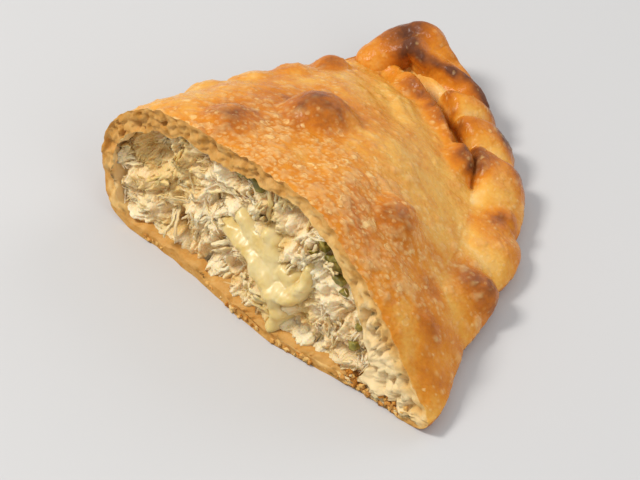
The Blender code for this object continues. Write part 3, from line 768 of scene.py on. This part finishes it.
# %% Node helpers
class Nodes:
    """One material: adds its nodes, laid out left to right, and links them."""

    def __init__(self, name, **values):
        """Makes the material and sets plain values on the Principled BSDF's own sockets."""
        self.material = bpy.data.materials.new(name)
        self.material.use_nodes = True
        self.tree, self.count = self.material.node_tree, 0
        self.shader = self.tree.nodes["Principled BSDF"]
        for socket, value in values.items():
            self.shader.inputs[socket.replace("_", " ")].default_value = value

    def add(self, kind, values=(), links=(), **settings):
        """Any node, with its settings, plain values and links from other nodes."""
        node = self.tree.nodes.new(kind)
        self.count += 1
        node.location = (180 * (self.count % 8), -260 * (self.count // 8))
        for name, value in settings.items():
            setattr(node, name, value)
        for socket, value in dict(values).items():
            node.inputs[socket].default_value = value
        for socket, source in dict(links).items():
            self.tree.links.new(source, node.inputs[socket])
        return node

    def place(self):
        """The point's own place in its piece, in metres."""
        return self.add("ShaderNodeTexCoord").outputs["Object"]

    def mask(self, name, output="Fac"):
        """A value that the mesh keeps for each of its points."""
        return self.add("ShaderNodeAttribute", attribute_name=name).outputs[output]

    def noise(self, place, scale, detail, output="Fac"):
        """Noise of this many lumps a metre, looked up at a place."""
        values = {"Scale": scale, "Detail": detail}
        return self.add("ShaderNodeTexNoise", values, {"Vector": place}).outputs[output]

    def maths(self, operation, first, second, clamp=False):
        """One operation on two numbers, plain or another node's; clamp keeps it within 0 and 1."""
        node = self.add("ShaderNodeMath", operation=operation, use_clamp=clamp)
        for socket, value in enumerate((first, second)):
            if isinstance(value, (int, float)):
                node.inputs[socket].default_value = value
            else:
                self.tree.links.new(value, node.inputs[socket])
        return node.outputs[0]

    plus, minus = partialmethod(maths, "ADD"), partialmethod(maths, "SUBTRACT")
    times, over = partialmethod(maths, "MULTIPLY"), partialmethod(maths, "DIVIDE")
    larger = partialmethod(maths, "MAXIMUM")

    def ramp(self, factor, stops):
        """The colour of the stops at the factor, blended evenly between neighbours."""
        node = self.add("ShaderNodeValToRGB", links={0: factor})
        elements = node.color_ramp.elements
        while len(elements) < len(stops):
            elements.new(0.5)
        for element, (place, colour) in zip(elements, stops):
            element.position = place
            element.color = (*colour, 1)
        return node.outputs["Color"]

    def mixed(self, factor, first, second):
        """The first colour where the factor is 0, the second, which may be a plain one, where it is 1."""
        node = self.add("ShaderNodeMix", links={0: factor, 6: first}, data_type="RGBA")
        if isinstance(second, tuple):
            node.inputs[7].default_value = (*second, 1)
        else:
            self.tree.links.new(second, node.inputs[7])
        return node.outputs[2]

    def finish(self, pieces, colour, height, strength, distance):
        """Links the colour and a bump to the shader and gives the material to the pieces."""
        self.tree.links.new(colour, self.shader.inputs["Base Color"])
        bump = self.add("ShaderNodeBump", {"Strength": strength, "Distance": distance}, {"Height": height})
        self.tree.links.new(bump.outputs["Normal"], self.shader.inputs["Normal"])
        for piece in pieces:
            piece.data.materials.append(self.material)
        print(f"{self.material.name}: {self.count} nodes on {len(pieces)} pieces")


# %% Rings of collapsed bubbles
SMALLEST_RING = 0.14


def blister_rings(nodes, place, size, crowd, widest, broken):
    """Caps with a ring: near its cell's middle, at a distance of 1 radius, and broken by gaps."""
    cells = nodes.add("ShaderNodeTexVoronoi", {"Scale": 1 / size}, {"Vector": place})
    chance = nodes.add("ShaderNodeSeparateColor", links={0: cells.outputs["Color"]}).outputs
    radius = nodes.plus(nodes.times(chance[0], widest - SMALLEST_RING), SMALLEST_RING)
    off = nodes.over(cells.outputs["Distance"], radius)
    kept = nodes.times(nodes.minus(crowd, chance[1]), 2.2, clamp=True)
    beside = nodes.maths("ABSOLUTE", nodes.minus(off, 1), 0)
    ring = nodes.minus(1, nodes.times(beside, 2.2), clamp=True)
    ring = nodes.times(ring, nodes.times(broken, 1.6), clamp=True)
    inner = nodes.times(nodes.minus(1.15, off), 1.6, clamp=True)
    filled = nodes.times(inner, nodes.plus(nodes.times(chance[2], 0.7), 0.3))
    faint = nodes.plus(nodes.times(chance[0], 0.6), 0.4)
    cap = nodes.times(nodes.larger(nodes.times(ring, 0.8), filled), faint)
    return nodes.times(cap, kept)


# %% Crust material
FRIED = ((0.0, (0.82, 0.58, 0.26)), (0.26, (0.77, 0.40, 0.075)), (0.46, (0.66, 0.23, 0.018)),
         (0.64, (0.50, 0.145, 0.012)), (0.82, (0.29, 0.085, 0.016)), (1.0, (0.13, 0.045, 0.020)))
CRUMB = ((0.0, (0.84, 0.64, 0.34)), (0.3, (0.74, 0.46, 0.16)), (0.6, (0.50, 0.22, 0.035)),
         (0.9, (0.25, 0.09, 0.02)))
PALE_BLISTER = (0.88, 0.60, 0.24)
WIDE_CELL, SMALL_CELL, STRAY = 0.0023, 0.0011, 0.0008

nodes = Nodes("fried dough", Subsurface_Weight=0.08, Subsurface_Scale=0.002,
              Subsurface_Radius=(1.0, 0.45, 0.15), Specular_IOR_Level=0.15)
crust_material = nodes.material
place = nodes.place()
fine_noise, slow_noise = nodes.noise(place, 1400, 3), nodes.noise(place, 380, 2)
gaps = nodes.times(nodes.minus(nodes.noise(place, 900, 2), 0.38), 3.4, clamp=True)
stray = nodes.noise(place, 420, 2, "Color")
stray = nodes.add("ShaderNodeVectorMath", {1: (STRAY,) * 3}, {0: stray}, operation="MULTIPLY").outputs[0]
bent = nodes.add("ShaderNodeVectorMath", links={0: place, 1: stray}, operation="ADD").outputs[0]
browned_at, pale_at, crumb_at, crowd_at = map(nodes.mask, ("browned", "pale", "crumb", "crowd"))
wide = blister_rings(nodes, bent, WIDE_CELL, crowd_at, 0.40, gaps)
small = blister_rings(nodes, bent, SMALL_CELL, nodes.plus(crowd_at, 0.16), 0.46, gaps)
raised = nodes.larger(wide, nodes.times(small, 0.75))

tone = nodes.plus(browned_at, nodes.times(nodes.minus(fine_noise, 0.5), 0.18))
tone = nodes.plus(tone, nodes.times(nodes.minus(slow_noise, 0.5), 0.20))
whiter = nodes.larger(nodes.times(pale_at, 0.65), raised, clamp=True)
skin_colour = nodes.mixed(whiter, nodes.ramp(tone, FRIED), PALE_BLISTER)
colour = nodes.mixed(crumb_at, skin_colour, nodes.ramp(tone, CRUMB))
rough = nodes.plus(nodes.times(crumb_at, 0.35), nodes.times(slow_noise, 0.25))
nodes.tree.links.new(nodes.plus(rough, 0.14), nodes.shader.inputs["Roughness"])
height = nodes.plus(nodes.times(fine_noise, 0.35), nodes.times(raised, 0.45))
nodes.finish((crust, twist), colour, nodes.plus(height, slow_noise), 0.9, 0.00038)

# %% [markdown]
# ## Melted cheese
#
# Cheese has run through the shreds and hangs over their face. Its thickness comes first, because the
# shreds lie lower where it runs: each stretch of the run is a round ridge between two points, and
# the ridges are blended where they meet, so the edge of the run dips back under the shreds.

# %% How thick the cheese lies
CHEESE_RUN = (  # from x, z and radius, to x, z and radius, thickness
    (28.5, 15.0, 0.8, 34.5, 14.0, 1.9, 1.5),
    (34.5, 14.0, 1.9, 40.0, 12.0, 2.2, 2.3),
    (40.0, 12.0, 2.2, 45.0, 9.0, 2.1, 2.9),
    (45.0, 9.0, 2.1, 49.6, 9.8, 2.0, 2.7),
    (49.6, 9.8, 2.0, 52.6, 14.0, 1.4, 2.0),
    (52.6, 14.0, 1.4, 52.6, 18.0, 0.8, 1.4),
    (46.0, 8.4, 1.6, 47.8, 5.0, 1.5, 2.6),
    (47.8, 5.0, 1.5, 47.0, 2.6, 1.3, 2.3),
    (33.0, 18.6, 1.2, 37.5, 15.6, 2.2, 0.9),
    (37.5, 15.6, 2.2, 43.0, 14.6, 2.0, 0.8),
    (41.0, 18.0, 1.2, 43.0, 14.6, 1.9, 0.8),
    (43.0, 12.0, 2.0, 49.0, 12.8, 1.6, 0.8),
)


def run_thickness(x, z):
    """Blended round ridges: each is thickness sqrt(1 - (distance / radius)^2), negative outside."""
    total = np.zeros_like(x)
    for x0, z0, r0, x1, z1, r1, thick in CHEESE_RUN:
        long = (x1 - x0) ** 2 + (z1 - z0) ** 2
        t = np.clip(((x - x0) * (x1 - x0) + (z - z0) * (z1 - z0)) / long, 0, 1)
        radius = r0 + (r1 - r0) * t
        d = np.hypot(x - x0 - t * (x1 - x0), z - z0 - t * (z1 - z0)) / radius
        ridge = np.where(d < 1, thick * np.sqrt(np.maximum(1 - d * d, 0)), -4.5 * (d - 1))
        total += np.exp(4 * np.clip(ridge, -7, None))
    return np.log(total) / 4


# %% [markdown]
# ## Shredded chicken
#
# The filling is one packed mass with shreds standing out of it. The mass is made as a sheet behind
# the cut. A flow that swirls over it says which way the meat's fibres run, and noise averaged along
# the flow is drawn out into bundles and fibres. A core fills the hollow behind it.

# %% Where the filling's face lies
opening = inner_grid(np.array([0.0]))[0]
ceiling, ground = opening[:DOME_COLUMNS], opening[DOME_COLUMNS + CRIMP_COLUMNS:][::-1]
OPEN_X = (ceiling[0, 0] + 0.1, ceiling[-1, 0] + 0.3)


def opening_heights(x):
    """Lowest and highest Z of the opening at X."""
    corner = opening[DOME_COLUMNS:DOME_COLUMNS + CRIMP_COLUMNS]
    floor_x, floor_z = np.append(ground[:, 0], corner[-1, 0]), np.append(ground[:, 2], corner[-1, 2])
    return np.interp(x, floor_x, floor_z), np.interp(x, ceiling[:, 0], ceiling[:, 2])


HOLLOWS = (  # x, z, half width, half height, depth of the dark hollows in the face
    (5.0, 20.5, 6.0, 6.0, 5.5), (14.5, 6.0, 4.5, 2.4, 5.0), (31.0, 28.6, 4.5, 1.4, 5.0),
    (47.8, 25.5, 3.0, 2.0, 5.0), (57.0, 21.8, 4.0, 2.4, 4.5), (51.0, 4.0, 4.0, 0.9, 4.0),
    (63.5, 4.2, 3.0, 1.0, 4.0), (24.0, 17.0, 2.0, 1.4, 2.5), (33.5, 6.6, 2.2, 1.6, 4.0),
    (49.0, 14.6, 2.0, 1.0, 2.0), (40.0, 19.6, 1.8, 1.2, 3.0), (56.5, 9.0, 2.2, 1.2, 2.0),
)
FACE_BEHIND, FACE_THICK, NEAREST, DEEPEST = 0.9, 1.5, 0.6, 6.5
# BACK_TONE is painted shade: the back of the sheet, facing into the hollow, is darker than its face.
SHEET_THICK, BACK_TONE = 3.0, 0.3


def face_depth(x, z):
    """How far the filling lies behind the cut: a little everywhere, more in the hollows."""
    where = upright(x, z)
    depth = FACE_BEHIND + 5 * np.clip(smooth_noise(where, 6.5, 121) - 0.30, 0, None)
    for hx, hz, wide, tall, deep_in in HOLLOWS:
        depth += deep_in * np.exp(-(((x - hx) / wide) ** 2) - ((z - hz) / tall) ** 2)
    return np.minimum(depth, DEEPEST)


def on_face(x, z, behind):
    """Points at X and Z that lie so far behind the leaning cut."""
    return np.stack([x, lean_back(x, z) + behind, z], -1)


# %% Fibres that follow a flow
FLOW_STEPS = 9


def flow_way(x, z):
    """The way the fibres run at each point, as an angle from X; it swirls from place to place."""
    where = upright(x, z)
    return np.radians(38 + 85 * smooth_noise(where, 12, 4) + 55 * smooth_noise(where, 4.5, 6))


def streaks(x, z, size, length, seed):
    """Noise averaged along the flow, both ways from each point, so it is drawn out into fibres."""
    total = 0
    for sign in (-1, 1):
        px, pz = x, z
        for _ in range(FLOW_STEPS):
            total = total + smooth_noise(upright(px, pz), size, seed)
            way = flow_way(px, pz)
            px = px + sign * np.cos(way) * length / FLOW_STEPS
            pz = pz + sign * np.sin(way) * length / FLOW_STEPS
    return total / total.std()


def torn_face(x, z):
    """Height towards the eye: bundles and fibres along the flow, and curds; and a tone of painted shade,
    lighter where these stand out and darker where they lie low.
    """
    where = upright(x, z)
    bundles = streaks(x, z, 2.0, 3.0, 131)
    fibres = 1.1 - np.abs(streaks(x, z, 0.8, 1.7, 133))
    curds = rough_noise(where, 3.6, 4, 135)
    height = 0.50 * bundles + 0.30 * fibres + 1.1 * curds + 0.30 * rough_noise(where, 1.3, 2, 137)
    return height, 0.50 + 0.14 * bundles + 0.10 * fibres + 0.55 * curds


FACE_ROWS, FACE_COLUMNS = 360, 150
face_x = np.linspace(*OPEN_X, FACE_ROWS)[:, None] + np.zeros((1, FACE_COLUMNS))
low, high = opening_heights(face_x)
face_z = low - 0.9 + (high - low + 1.2) * np.linspace(0, 1, FACE_COLUMNS)[None, :]
relief, painted_relief_shade = torn_face(face_x, face_z)
near_edge = np.minimum(face_z - low, high - face_z)
behind = face_depth(face_x, face_z) + FACE_THICK - relief * np.clip((near_edge + 1.2) / 2, 0.3, 1)
behind += 1.4 * step(run_thickness(face_x, face_z), 0.0, 1.2)
behind = np.where(behind < NEAREST, NEAREST * np.exp(behind / NEAREST - 1), behind)
behind += 1.2 * (1 - step(high - face_z, -0.2, 1.6))
spilled = (1 - step(face_z - low, -0.6, 1.6)) * step(face_x, 16, 26) * (1 - step(face_x, 62, 69))
behind += (2.2 - 0.9 * np.clip(relief, -1.6, 1.3) - behind) * spilled
front = on_face(face_x, face_z, behind)
back = front[:, ::-25] + [0, SHEET_THICK, 0]
back[..., 2] += 0.12 * ((low + high)[:, ::-25] / 2 - back[..., 2]) - 0.3
face_grid = np.concatenate([front, back], axis=1)
# Painted shade: the face's tone is lighter where its relief stands out and darker the deeper it lies behind
# the cut, in its hollows and under the cheese.
face_tone = 0.14 + 0.80 * painted_relief_shade - 0.05 * (behind - FACE_THICK)
face_tone = np.hstack([face_tone, np.full(back.shape[:2], BACK_TONE)])
face_tone = np.concatenate([[0], face_tone.ravel(), [0]])
points, faces = with_poles(face_grid), tube_faces(1, *face_grid.shape[:2])
packed = new_piece("packed_chicken", points, faces, tone=face_tone, strand=points)

# %% [markdown]
# ## Loose shreds and fibres
#
# Shreds lie on the mass in bundles along the same ways, each a flattened, ridged ring carried along
# a bent path and narrowed at its ends. All of them are worked out at once, as one array of strands
# by rings by points. Hair curves would give finer strands, but no solid mesh that can be kept. Each
# point also keeps its place in the straightened strand, where the material looks up its grain.

# %% Strands, all at once
STRAND_WAVER, STRAND_ROUGH = 0.6, 0.20
RIDGE_DEPTHS = (0.24, 0.18, 0.14)


def strands(start, heading, bend, radius, flat, rings, sides, seed):
    """Points of many strands: rings along start + heading u + bend u u, and a pole at each end.

    The second array is each point's place in its own straightened strand, ten times shorter along
    it than across it, so that noise looked up there is drawn out into fibres.
    """
    rng = np.random.default_rng(seed)
    count = len(start)
    u = np.linspace(0, 1, rings)[None, :, None]
    centre = start[:, None] + heading[:, None] * u + bend[:, None] * u * u
    centre = centre + STRAND_WAVER * noise_vector(centre, 2.8, 1, seed)
    forward = heading[:, None] + 2 * bend[:, None] * u
    forward = forward / np.linalg.norm(forward, axis=-1, keepdims=True)
    side = np.cross(forward, rng.normal(size=(count, 1, 3)))
    side /= np.linalg.norm(side, axis=-1, keepdims=True)
    rise = np.cross(forward, side)
    taper = (0.35 + np.sin(math.pi * (0.02 + 0.96 * u[..., 0])) ** 0.3) / 1.35
    size = radius[:, None] * taper * (1 + 0.45 * smooth_noise(centre, 1.5, seed))
    turn = np.linspace(0, 2 * math.pi, sides, endpoint=False)[None, None, :]
    ridged = 1
    for depth in RIDGE_DEPTHS:
        ridges, twist = rng.integers(2, 8, (count, 1, 1)), rng.normal(0, 2.5, (count, 1, 1))
        ridged = ridged + depth * np.sin(ridges * turn + twist * u + rng.uniform(0, 6, (count, 1, 1)))
    across = np.cos(turn)[..., None] * side[:, :, None]
    across = across + (np.sin(turn) * flat[:, None, None])[..., None] * rise[:, :, None]
    body = centre[:, :, None] + (size[..., None] * ridged)[..., None] * across
    body += STRAND_ROUGH * noise_vector(body, 0.9, 1, seed)
    first = centre[:, :1] - forward[:, :1] * size[:, :1, None]
    last = centre[:, -1:] + forward[:, -1:] * size[:, -1:, None]
    points = np.concatenate([first, body.reshape(count, -1, 3), last], axis=1)

    long = np.linalg.norm(heading, axis=-1)[:, None, None] * u
    wide = radius[:, None, None] + 0 * u
    place = np.stack([wide * np.cos(turn), wide * np.sin(turn), 0.1 * long + 0 * turn], -1)
    place = np.concatenate([0 * first, place.reshape(count, -1, 3), 0 * last], axis=1)
    return points, place + rng.uniform(0, 90, (count, 1, 3))


def lying_strands(rng, bundles, in_bundle, length, radius, flatness, apart, sunk, stray, rings, sides, seed):
    """Bundles lying on the face along its fibres; gives the points and two masks for them."""
    x, z = rng.uniform(*OPEN_X, bundles), rng.uniform(0.03, 0.97, bundles)
    low, high = opening_heights(x)
    z = low + (high - low) * z
    relief, _ = torn_face(x, z)
    way = flow_way(x, z) + rng.normal(0, stray, bundles)
    heading = np.stack([np.cos(way), rng.normal(0, 0.28, bundles), np.sin(way)], -1)
    square = np.stack([-np.sin(way), 0 * way, np.cos(way)], -1)
    spread = (np.arange(in_bundle) - (in_bundle - 1) / 2)[None, :, None]
    heading = heading[:, None] + rng.normal(0, 0.13, (bundles, in_bundle, 3))
    heading = heading * rng.uniform(*length, (bundles, in_bundle, 1))
    depth = np.maximum(face_depth(x, z) + FACE_THICK - relief, 0.3) + rng.uniform(*sunk, bundles)
    depth += 3.6 * step(run_thickness(x, z), -0.9, 0.4)
    middle = on_face(x, z, depth)[:, None] + square[:, None] * spread * apart
    middle = middle + rng.normal(0, 0.3, middle.shape)
    bend = rng.normal(0, 0.22, (bundles, 1, 3)) + rng.normal(0, 0.08, middle.shape)
    bend = bend * np.linalg.norm(heading, axis=-1, keepdims=True)
    start = middle - heading / 2 - bend / 4
    size = rng.uniform(*radius, start.shape[:2]).ravel()
    flat = rng.uniform(*flatness, size.size)
    points, place = strands(start.reshape(-1, 3), heading.reshape(-1, 3), bend.reshape(-1, 3), size, flat,
                            rings, sides, seed)
    tones = np.repeat(rng.uniform(0.25, 0.75, bundles), in_bundle) + rng.uniform(-0.1, 0.25, size.size)
    masks = {"tone": np.repeat(tones, points.shape[1]), "strand": place.reshape(-1, 3)}
    return keep_inside(points), masks


def keep_inside(points):
    """Presses points back into the opening, so that no shred goes through the dough."""
    x, y, z = np.moveaxis(points, -1, 0)
    x = np.clip(x, *OPEN_X)
    low, high = opening_heights(x)
    z = np.clip(z, low - 1.0, high - 0.2)
    front_of = lean_back(x, z) - 0.7
    return np.stack([x, np.maximum(y, front_of), z], -1)


SHREDS = {
    "bundles": 64, "in_bundle": 5, "length": (3.5, 8.5), "radius": (0.20, 0.52), "flatness": (0.55, 0.9),
    "apart": 0.48, "sunk": (0.1, 0.9), "stray": 0.30, "rings": 24, "sides": 12, "seed": 3,
}
FIBRES = {
    "bundles": 150, "in_bundle": 4, "length": (1.5, 4.5), "radius": (0.08, 0.18), "flatness": (0.6, 1.0),
    "apart": 0.25, "sunk": (-0.1, 0.5), "stray": 0.5, "rings": 10, "sides": 6, "seed": 5,
}


def strand_piece(name, rng, kind):
    """All the strands of one kind as one piece."""
    points, masks = lying_strands(rng, **kind)
    return new_piece(name, points, tube_faces(len(points), kind["rings"], kind["sides"]), **masks)


shred_rng = np.random.default_rng(23)
shreds = strand_piece("chicken_shreds", shred_rng, SHREDS)
fibres = strand_piece("chicken_fibres", shred_rng, FIBRES)

# %% Core behind the face
CORE_ROWS, CORE_START, CORE_END = 14, 0.16, 0.78
# CORE_TONE is painted shade: the core, seen only in the hollows between the shreds, is coloured darker than
# the face.
CORE_FILLS, CORE_TONE = 0.95, 0.15
body = inner_grid(np.linspace(CORE_START, CORE_END, CORE_ROWS))[:, ::3]
middle = body.mean(axis=1, keepdims=True)
body = middle + (body - middle) * CORE_FILLS
core = tube_piece("chicken_core", body, tone=np.full(body.shape[:2], CORE_TONE), strand=body)

# %% Chicken material
MEAT = ((0.0, (0.40, 0.20, 0.045)), (0.22, (0.72, 0.45, 0.16)), (0.52, (0.88, 0.65, 0.34)),
        (0.95, (0.90, 0.75, 0.48)))
STAIN, STAINED = (0.74, 0.47, 0.12), ((0.50, (0, 0, 0)), (0.66, (0.7, 0.7, 0.7)))

nodes = Nodes("chicken", Subsurface_Weight=0.35, Subsurface_Scale=0.002,
              Subsurface_Radius=(1.0, 0.6, 0.3), Roughness=0.5)
place = nodes.place()
grain = nodes.noise(nodes.mask("strand", "Vector"), 2.6, 3)
tone = nodes.plus(nodes.times(nodes.mask("tone"), 0.75), nodes.times(nodes.noise(place, 170, 3), 0.35))
tone = nodes.plus(tone, nodes.times(nodes.minus(grain, 0.5), 0.7))
stained = nodes.ramp(nodes.noise(place, 95, 2), STAINED)
colour = nodes.mixed(stained, nodes.ramp(tone, MEAT), STAIN)
nodes.finish((packed, shreds, fibres, core), colour, grain, 0.9, 0.0003)

# %% [markdown]
# ## The cheese's front
#
# Melted cheese hangs smooth and round over the shreds. Its front is a slowly waving sheet behind the
# cut, brought forward by the thickness worked out above, so outside the run it dips back under the
# meat and no edge of it shows. Light goes a little way into it, which makes it look soft.

# %% Cheese piece and material
CHEESE_ROWS, CHEESE_COLUMNS = 190, 140
CHEESE_FROM, CHEESE_TO, CHEESE_TOP = 25, 56, 22.5
CHEESE_BEHIND, CHEESE_NEAREST = 1.9, -1.3
CREAM = ((0.35, (0.74, 0.59, 0.28)), (0.7, (0.66, 0.45, 0.13)))

cheese_x = np.linspace(CHEESE_FROM, CHEESE_TO, CHEESE_ROWS)[:, None] + np.zeros((1, CHEESE_COLUMNS))
low, high = opening_heights(cheese_x)
cheese_z = low + (CHEESE_TOP - low) * np.linspace(0, 1, CHEESE_COLUMNS)[None, :]
where = upright(cheese_x, cheese_z)
thick = run_thickness(cheese_x + 0.7 * smooth_noise(where, 3, 7), cheese_z + 0.7 * smooth_noise(where, 3, 8))
behind = CHEESE_BEHIND + 0.6 * smooth_noise(where, 4, 9) + 0.22 * rough_noise(where, 1.8, 3, 10) - 0.9 * thick
front = on_face(cheese_x, cheese_z, np.maximum(behind, CHEESE_NEAREST))
back = front[:, ::-20] + [0, SHEET_THICK, 0]
cheese = tube_piece("melted_cheese_run", np.concatenate([front, back], axis=1))
nodes = Nodes("melted cheese", Subsurface_Weight=0.35, Subsurface_Scale=0.003,
              Subsurface_Radius=(1.0, 0.75, 0.35), Roughness=0.32, Specular_IOR_Level=0.4)
patchy = nodes.noise(nodes.place(), 220, 3)
colour = nodes.ramp(patchy, CREAM)
nodes.finish((cheese,), colour, patchy, 0.25, 0.0002)

# %% [markdown]
# ## Green pepper
#
# Small cooked pieces, soft at their corners and dull olive. Cubes with a bevel would look cut by a
# machine, so each is a ball pushed out towards a block and then bent by noise.

# %% Peppers
PEPPERS = (  # node, then x, z, how far behind the cut, half sizes along x, y and z, and a turn
    ("green_pepper_1", (36.0, 27.0, 1.6), (1.9, 1.0, 0.9), -0.4),
    ("green_pepper_1", (33.2, 27.5, 2.0), (1.5, 0.9, 1.2), 0.3),
    ("green_pepper_1", (30.6, 26.4, 2.2), (1.2, 0.9, 0.7), 0.7),
    ("green_pepper_2", (54.0, 22.8, 2.6), (1.5, 1.0, 1.1), -0.9),
    ("green_pepper_2", (52.0, 20.4, 2.2), (1.1, 0.8, 0.7), 0.2),
    ("green_pepper_2", (55.6, 20.2, 3.0), (1.3, 0.9, 1.0), 0.5),
    ("green_pepper_3", (57.8, 20.6, 2.4), (1.6, 1.0, 1.2), -1.0),
    ("green_pepper_3", (59.4, 18.0, 2.2), (1.4, 0.9, 0.9), 0.3),
    ("green_pepper_3", (61.4, 16.4, 1.9), (1.1, 0.8, 0.8), -0.8),
    ("green_pepper_4", (65.6, 7.4, 1.2), (1.3, 0.8, 0.8), 0.4),
    ("green_pepper_4", (66.0, 11.6, 1.4), (0.8, 0.6, 0.6), 0.0),
    ("green_pepper_4", (37.6, 22.6, 1.8), (0.8, 0.6, 0.5), 0.4),
)
PEPPER_RINGS, PEPPER_SIDES = 18, 26
BLOCK_POWER = 0.55
OLIVE = ((0.3, (0.09, 0.075, 0.008)), (0.5, (0.24, 0.19, 0.02)), (0.7, (0.50, 0.40, 0.09)))


def rounded_block(rings, sides):
    """Points of a ball pushed out towards a block: each axis keeps its sign and takes a low power."""
    tilt = np.linspace(0, math.pi, rings + 2)[1:-1, None]
    turn = np.linspace(0, 2 * math.pi, sides, endpoint=False)[None, :]
    ball = np.stack([np.sin(tilt) * np.cos(turn), np.sin(tilt) * np.sin(turn), np.cos(tilt) + 0 * turn], -1)
    ball = np.vstack([[0, 0, 1], ball.reshape(-1, 3), [0, 0, -1]])
    return np.sign(ball) * np.abs(ball) ** BLOCK_POWER


nodes = Nodes("cooked green pepper", Roughness=0.48, Subsurface_Weight=0.15, Subsurface_Scale=0.001)
pepper_pieces = []
for number, (node, (x, z, behind), half, turned) in enumerate(PEPPERS):
    block = rounded_block(PEPPER_RINGS, PEPPER_SIDES) * half
    block = block + 0.45 * noise_vector(block, 1.8, 2, 5 * number)
    cos, sin = math.cos(turned), math.sin(turned)
    block = block @ np.array([[cos, 0, sin], [0, 1, 0], [-sin, 0, cos]])
    middle = on_face(np.array(x), np.array(z), behind + 0.5)
    faces = tube_faces(1, PEPPER_RINGS, PEPPER_SIDES)
    piece = new_piece(f"pepper_bit_{number + 1}", block + middle, faces)
    pepper_pieces.append((piece, node))

patchy = nodes.noise(nodes.place(), 500, 3)
nodes.finish([piece for piece, node in pepper_pieces], nodes.ramp(patchy, OLIVE), patchy, 0.5, 0.0003)

# %% [markdown]
# ## Crumbs
#
# Crumbs of crust hang at the lower edge of the cut, closest together by the thick corner. Each is the
# pepper's rounded block again, smaller, stretched and bent, and all of them are worked out at once.

# %% Crumbs
CRUMBS, CORNER_CRUMBS, CRUMB_RINGS, CRUMB_SIDES = 90, 50, 7, 10
crumb_rng = np.random.default_rng(31)
crumb_x = np.append(crumb_rng.uniform(6, 80, CRUMBS), crumb_rng.uniform(66, 82, CORNER_CRUMBS))
count = crumb_x.size
crumb_z = crumb_rng.uniform(0.3, 1.0, count)
crumb_z[CRUMBS:] += crumb_rng.uniform(0, 2, CORNER_CRUMBS)
crumb_size = np.clip(crumb_rng.lognormal(-1.2, 0.4, (count, 1, 1)), 0.15, 0.7)
stretch = crumb_rng.uniform(0.6, 1.3, (count, 1, 3))
middles = on_face(crumb_x, crumb_z, crumb_rng.uniform(-0.1, 0.5, count))[:, None]
points = middles + rounded_block(CRUMB_RINGS, CRUMB_SIDES)[None] * crumb_size * stretch
points += 0.9 * crumb_size * noise_vector(points, 0.6, 2, 90)
points[..., 2] = np.maximum(points[..., 2], JUST_ABOVE_FLOOR)
faces = tube_faces(count, CRUMB_RINGS, CRUMB_SIDES)
crumb_tone = np.repeat(crumb_rng.uniform(0.15, 0.6, count), points.shape[1])
none = 0 * crumb_tone
crumbs = new_piece("crumbs", points, faces, browned=crumb_tone, pale=none, crumb=none + 0.5, crowd=none)
crumbs.data.materials.append(crust_material)

# %% [markdown]
# ## Floor, light and camera
#
# The pastry lies on a plain pale floor. One lamp, like a window at the left, draws the blisters and
# the lobes, and two weaker ones open the shadows. The camera looks down over the cut through a long
# lens, which keeps the pastry's true proportions.

# %% Camera
CAMERA_FROM, CAMERA_AIM = np.array([283.9, -223.6, 310.1]), np.array([38.0, 21.0, 5.0])
LENS = 130
camera = bpy.data.objects.new("camera", bpy.data.cameras.new("camera"))
bpy.context.collection.objects.link(camera)
bpy.context.scene.camera = camera
middle = Vector(CAMERA_AIM * MM + CENTRE)
camera.location = CAMERA_FROM * MM + CENTRE
camera.rotation_euler = (middle - camera.location).to_track_quat("-Z", "Y").to_euler()
camera.data.lens, camera.data.sensor_width = LENS, 36
camera.data.clip_start, camera.data.clip_end = 0.01, 10
print("camera stands", round(float(np.linalg.norm(CAMERA_FROM - CAMERA_AIM))), "mm from its aim")

# %% Light and floor
world = bpy.data.worlds.new("studio")
bpy.context.scene.world = world
world.use_nodes = True
world.node_tree.nodes["Background"].inputs["Color"].default_value = (0.93, 0.96, 1.0, 1)
world.node_tree.nodes["Background"].inputs["Strength"].default_value = 0.55
bpy.context.scene.view_settings.view_transform = "Standard"


def soft_light(name, place, size, watts, colour=(1, 1, 1)):
    """A square lamp turned to face the pastry."""
    light = bpy.data.objects.new(name, bpy.data.lights.new(name, "AREA"))
    bpy.context.collection.objects.link(light)
    light.location = Vector(place)
    light.rotation_euler = (middle - light.location).to_track_quat("-Z", "Y").to_euler()
    light.data.size, light.data.energy, light.data.color = size, watts, colour


soft_light("window", (-0.40, -0.36, 0.68), 0.22, 5.6, (1, 0.98, 0.95))
soft_light("side card", (0.60, -0.10, 0.45), 0.5, 1.3)
soft_light("reflector", (0.1, 0.7, 0.5), 0.5, 1.4)

floor_mesh = bpy.data.meshes.new("floor")
floor_mesh.from_pydata([(-4, -4, 0), (4, -4, 0), (4, 4, 0), (-4, 4, 0)], [], [(0, 1, 2, 3)])
floor = bpy.data.objects.new("floor", floor_mesh)
bpy.context.collection.objects.link(floor)
floor.data.materials.append(Nodes("pale floor", Roughness=0.45, Base_Color=(0.56, 0.55, 0.54, 1)).material)

# %% [markdown]
# ## What each piece stands for
#
# Food has no joints, so every piece rides on the root. Each takes the place of one node of the packed
# model and is filed under that node's material slot.

# %% Say what rides where
for piece in (crust, twist, crumbs):
    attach(piece, "root")
    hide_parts("crust")
for piece in (packed, shreds, fibres, core):
    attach(piece, "root")
    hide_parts("chicken_filling")
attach(cheese, "root")
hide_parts("melted_cheese")
for piece, node in pepper_pieces:
    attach(piece, "root")
    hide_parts(node)
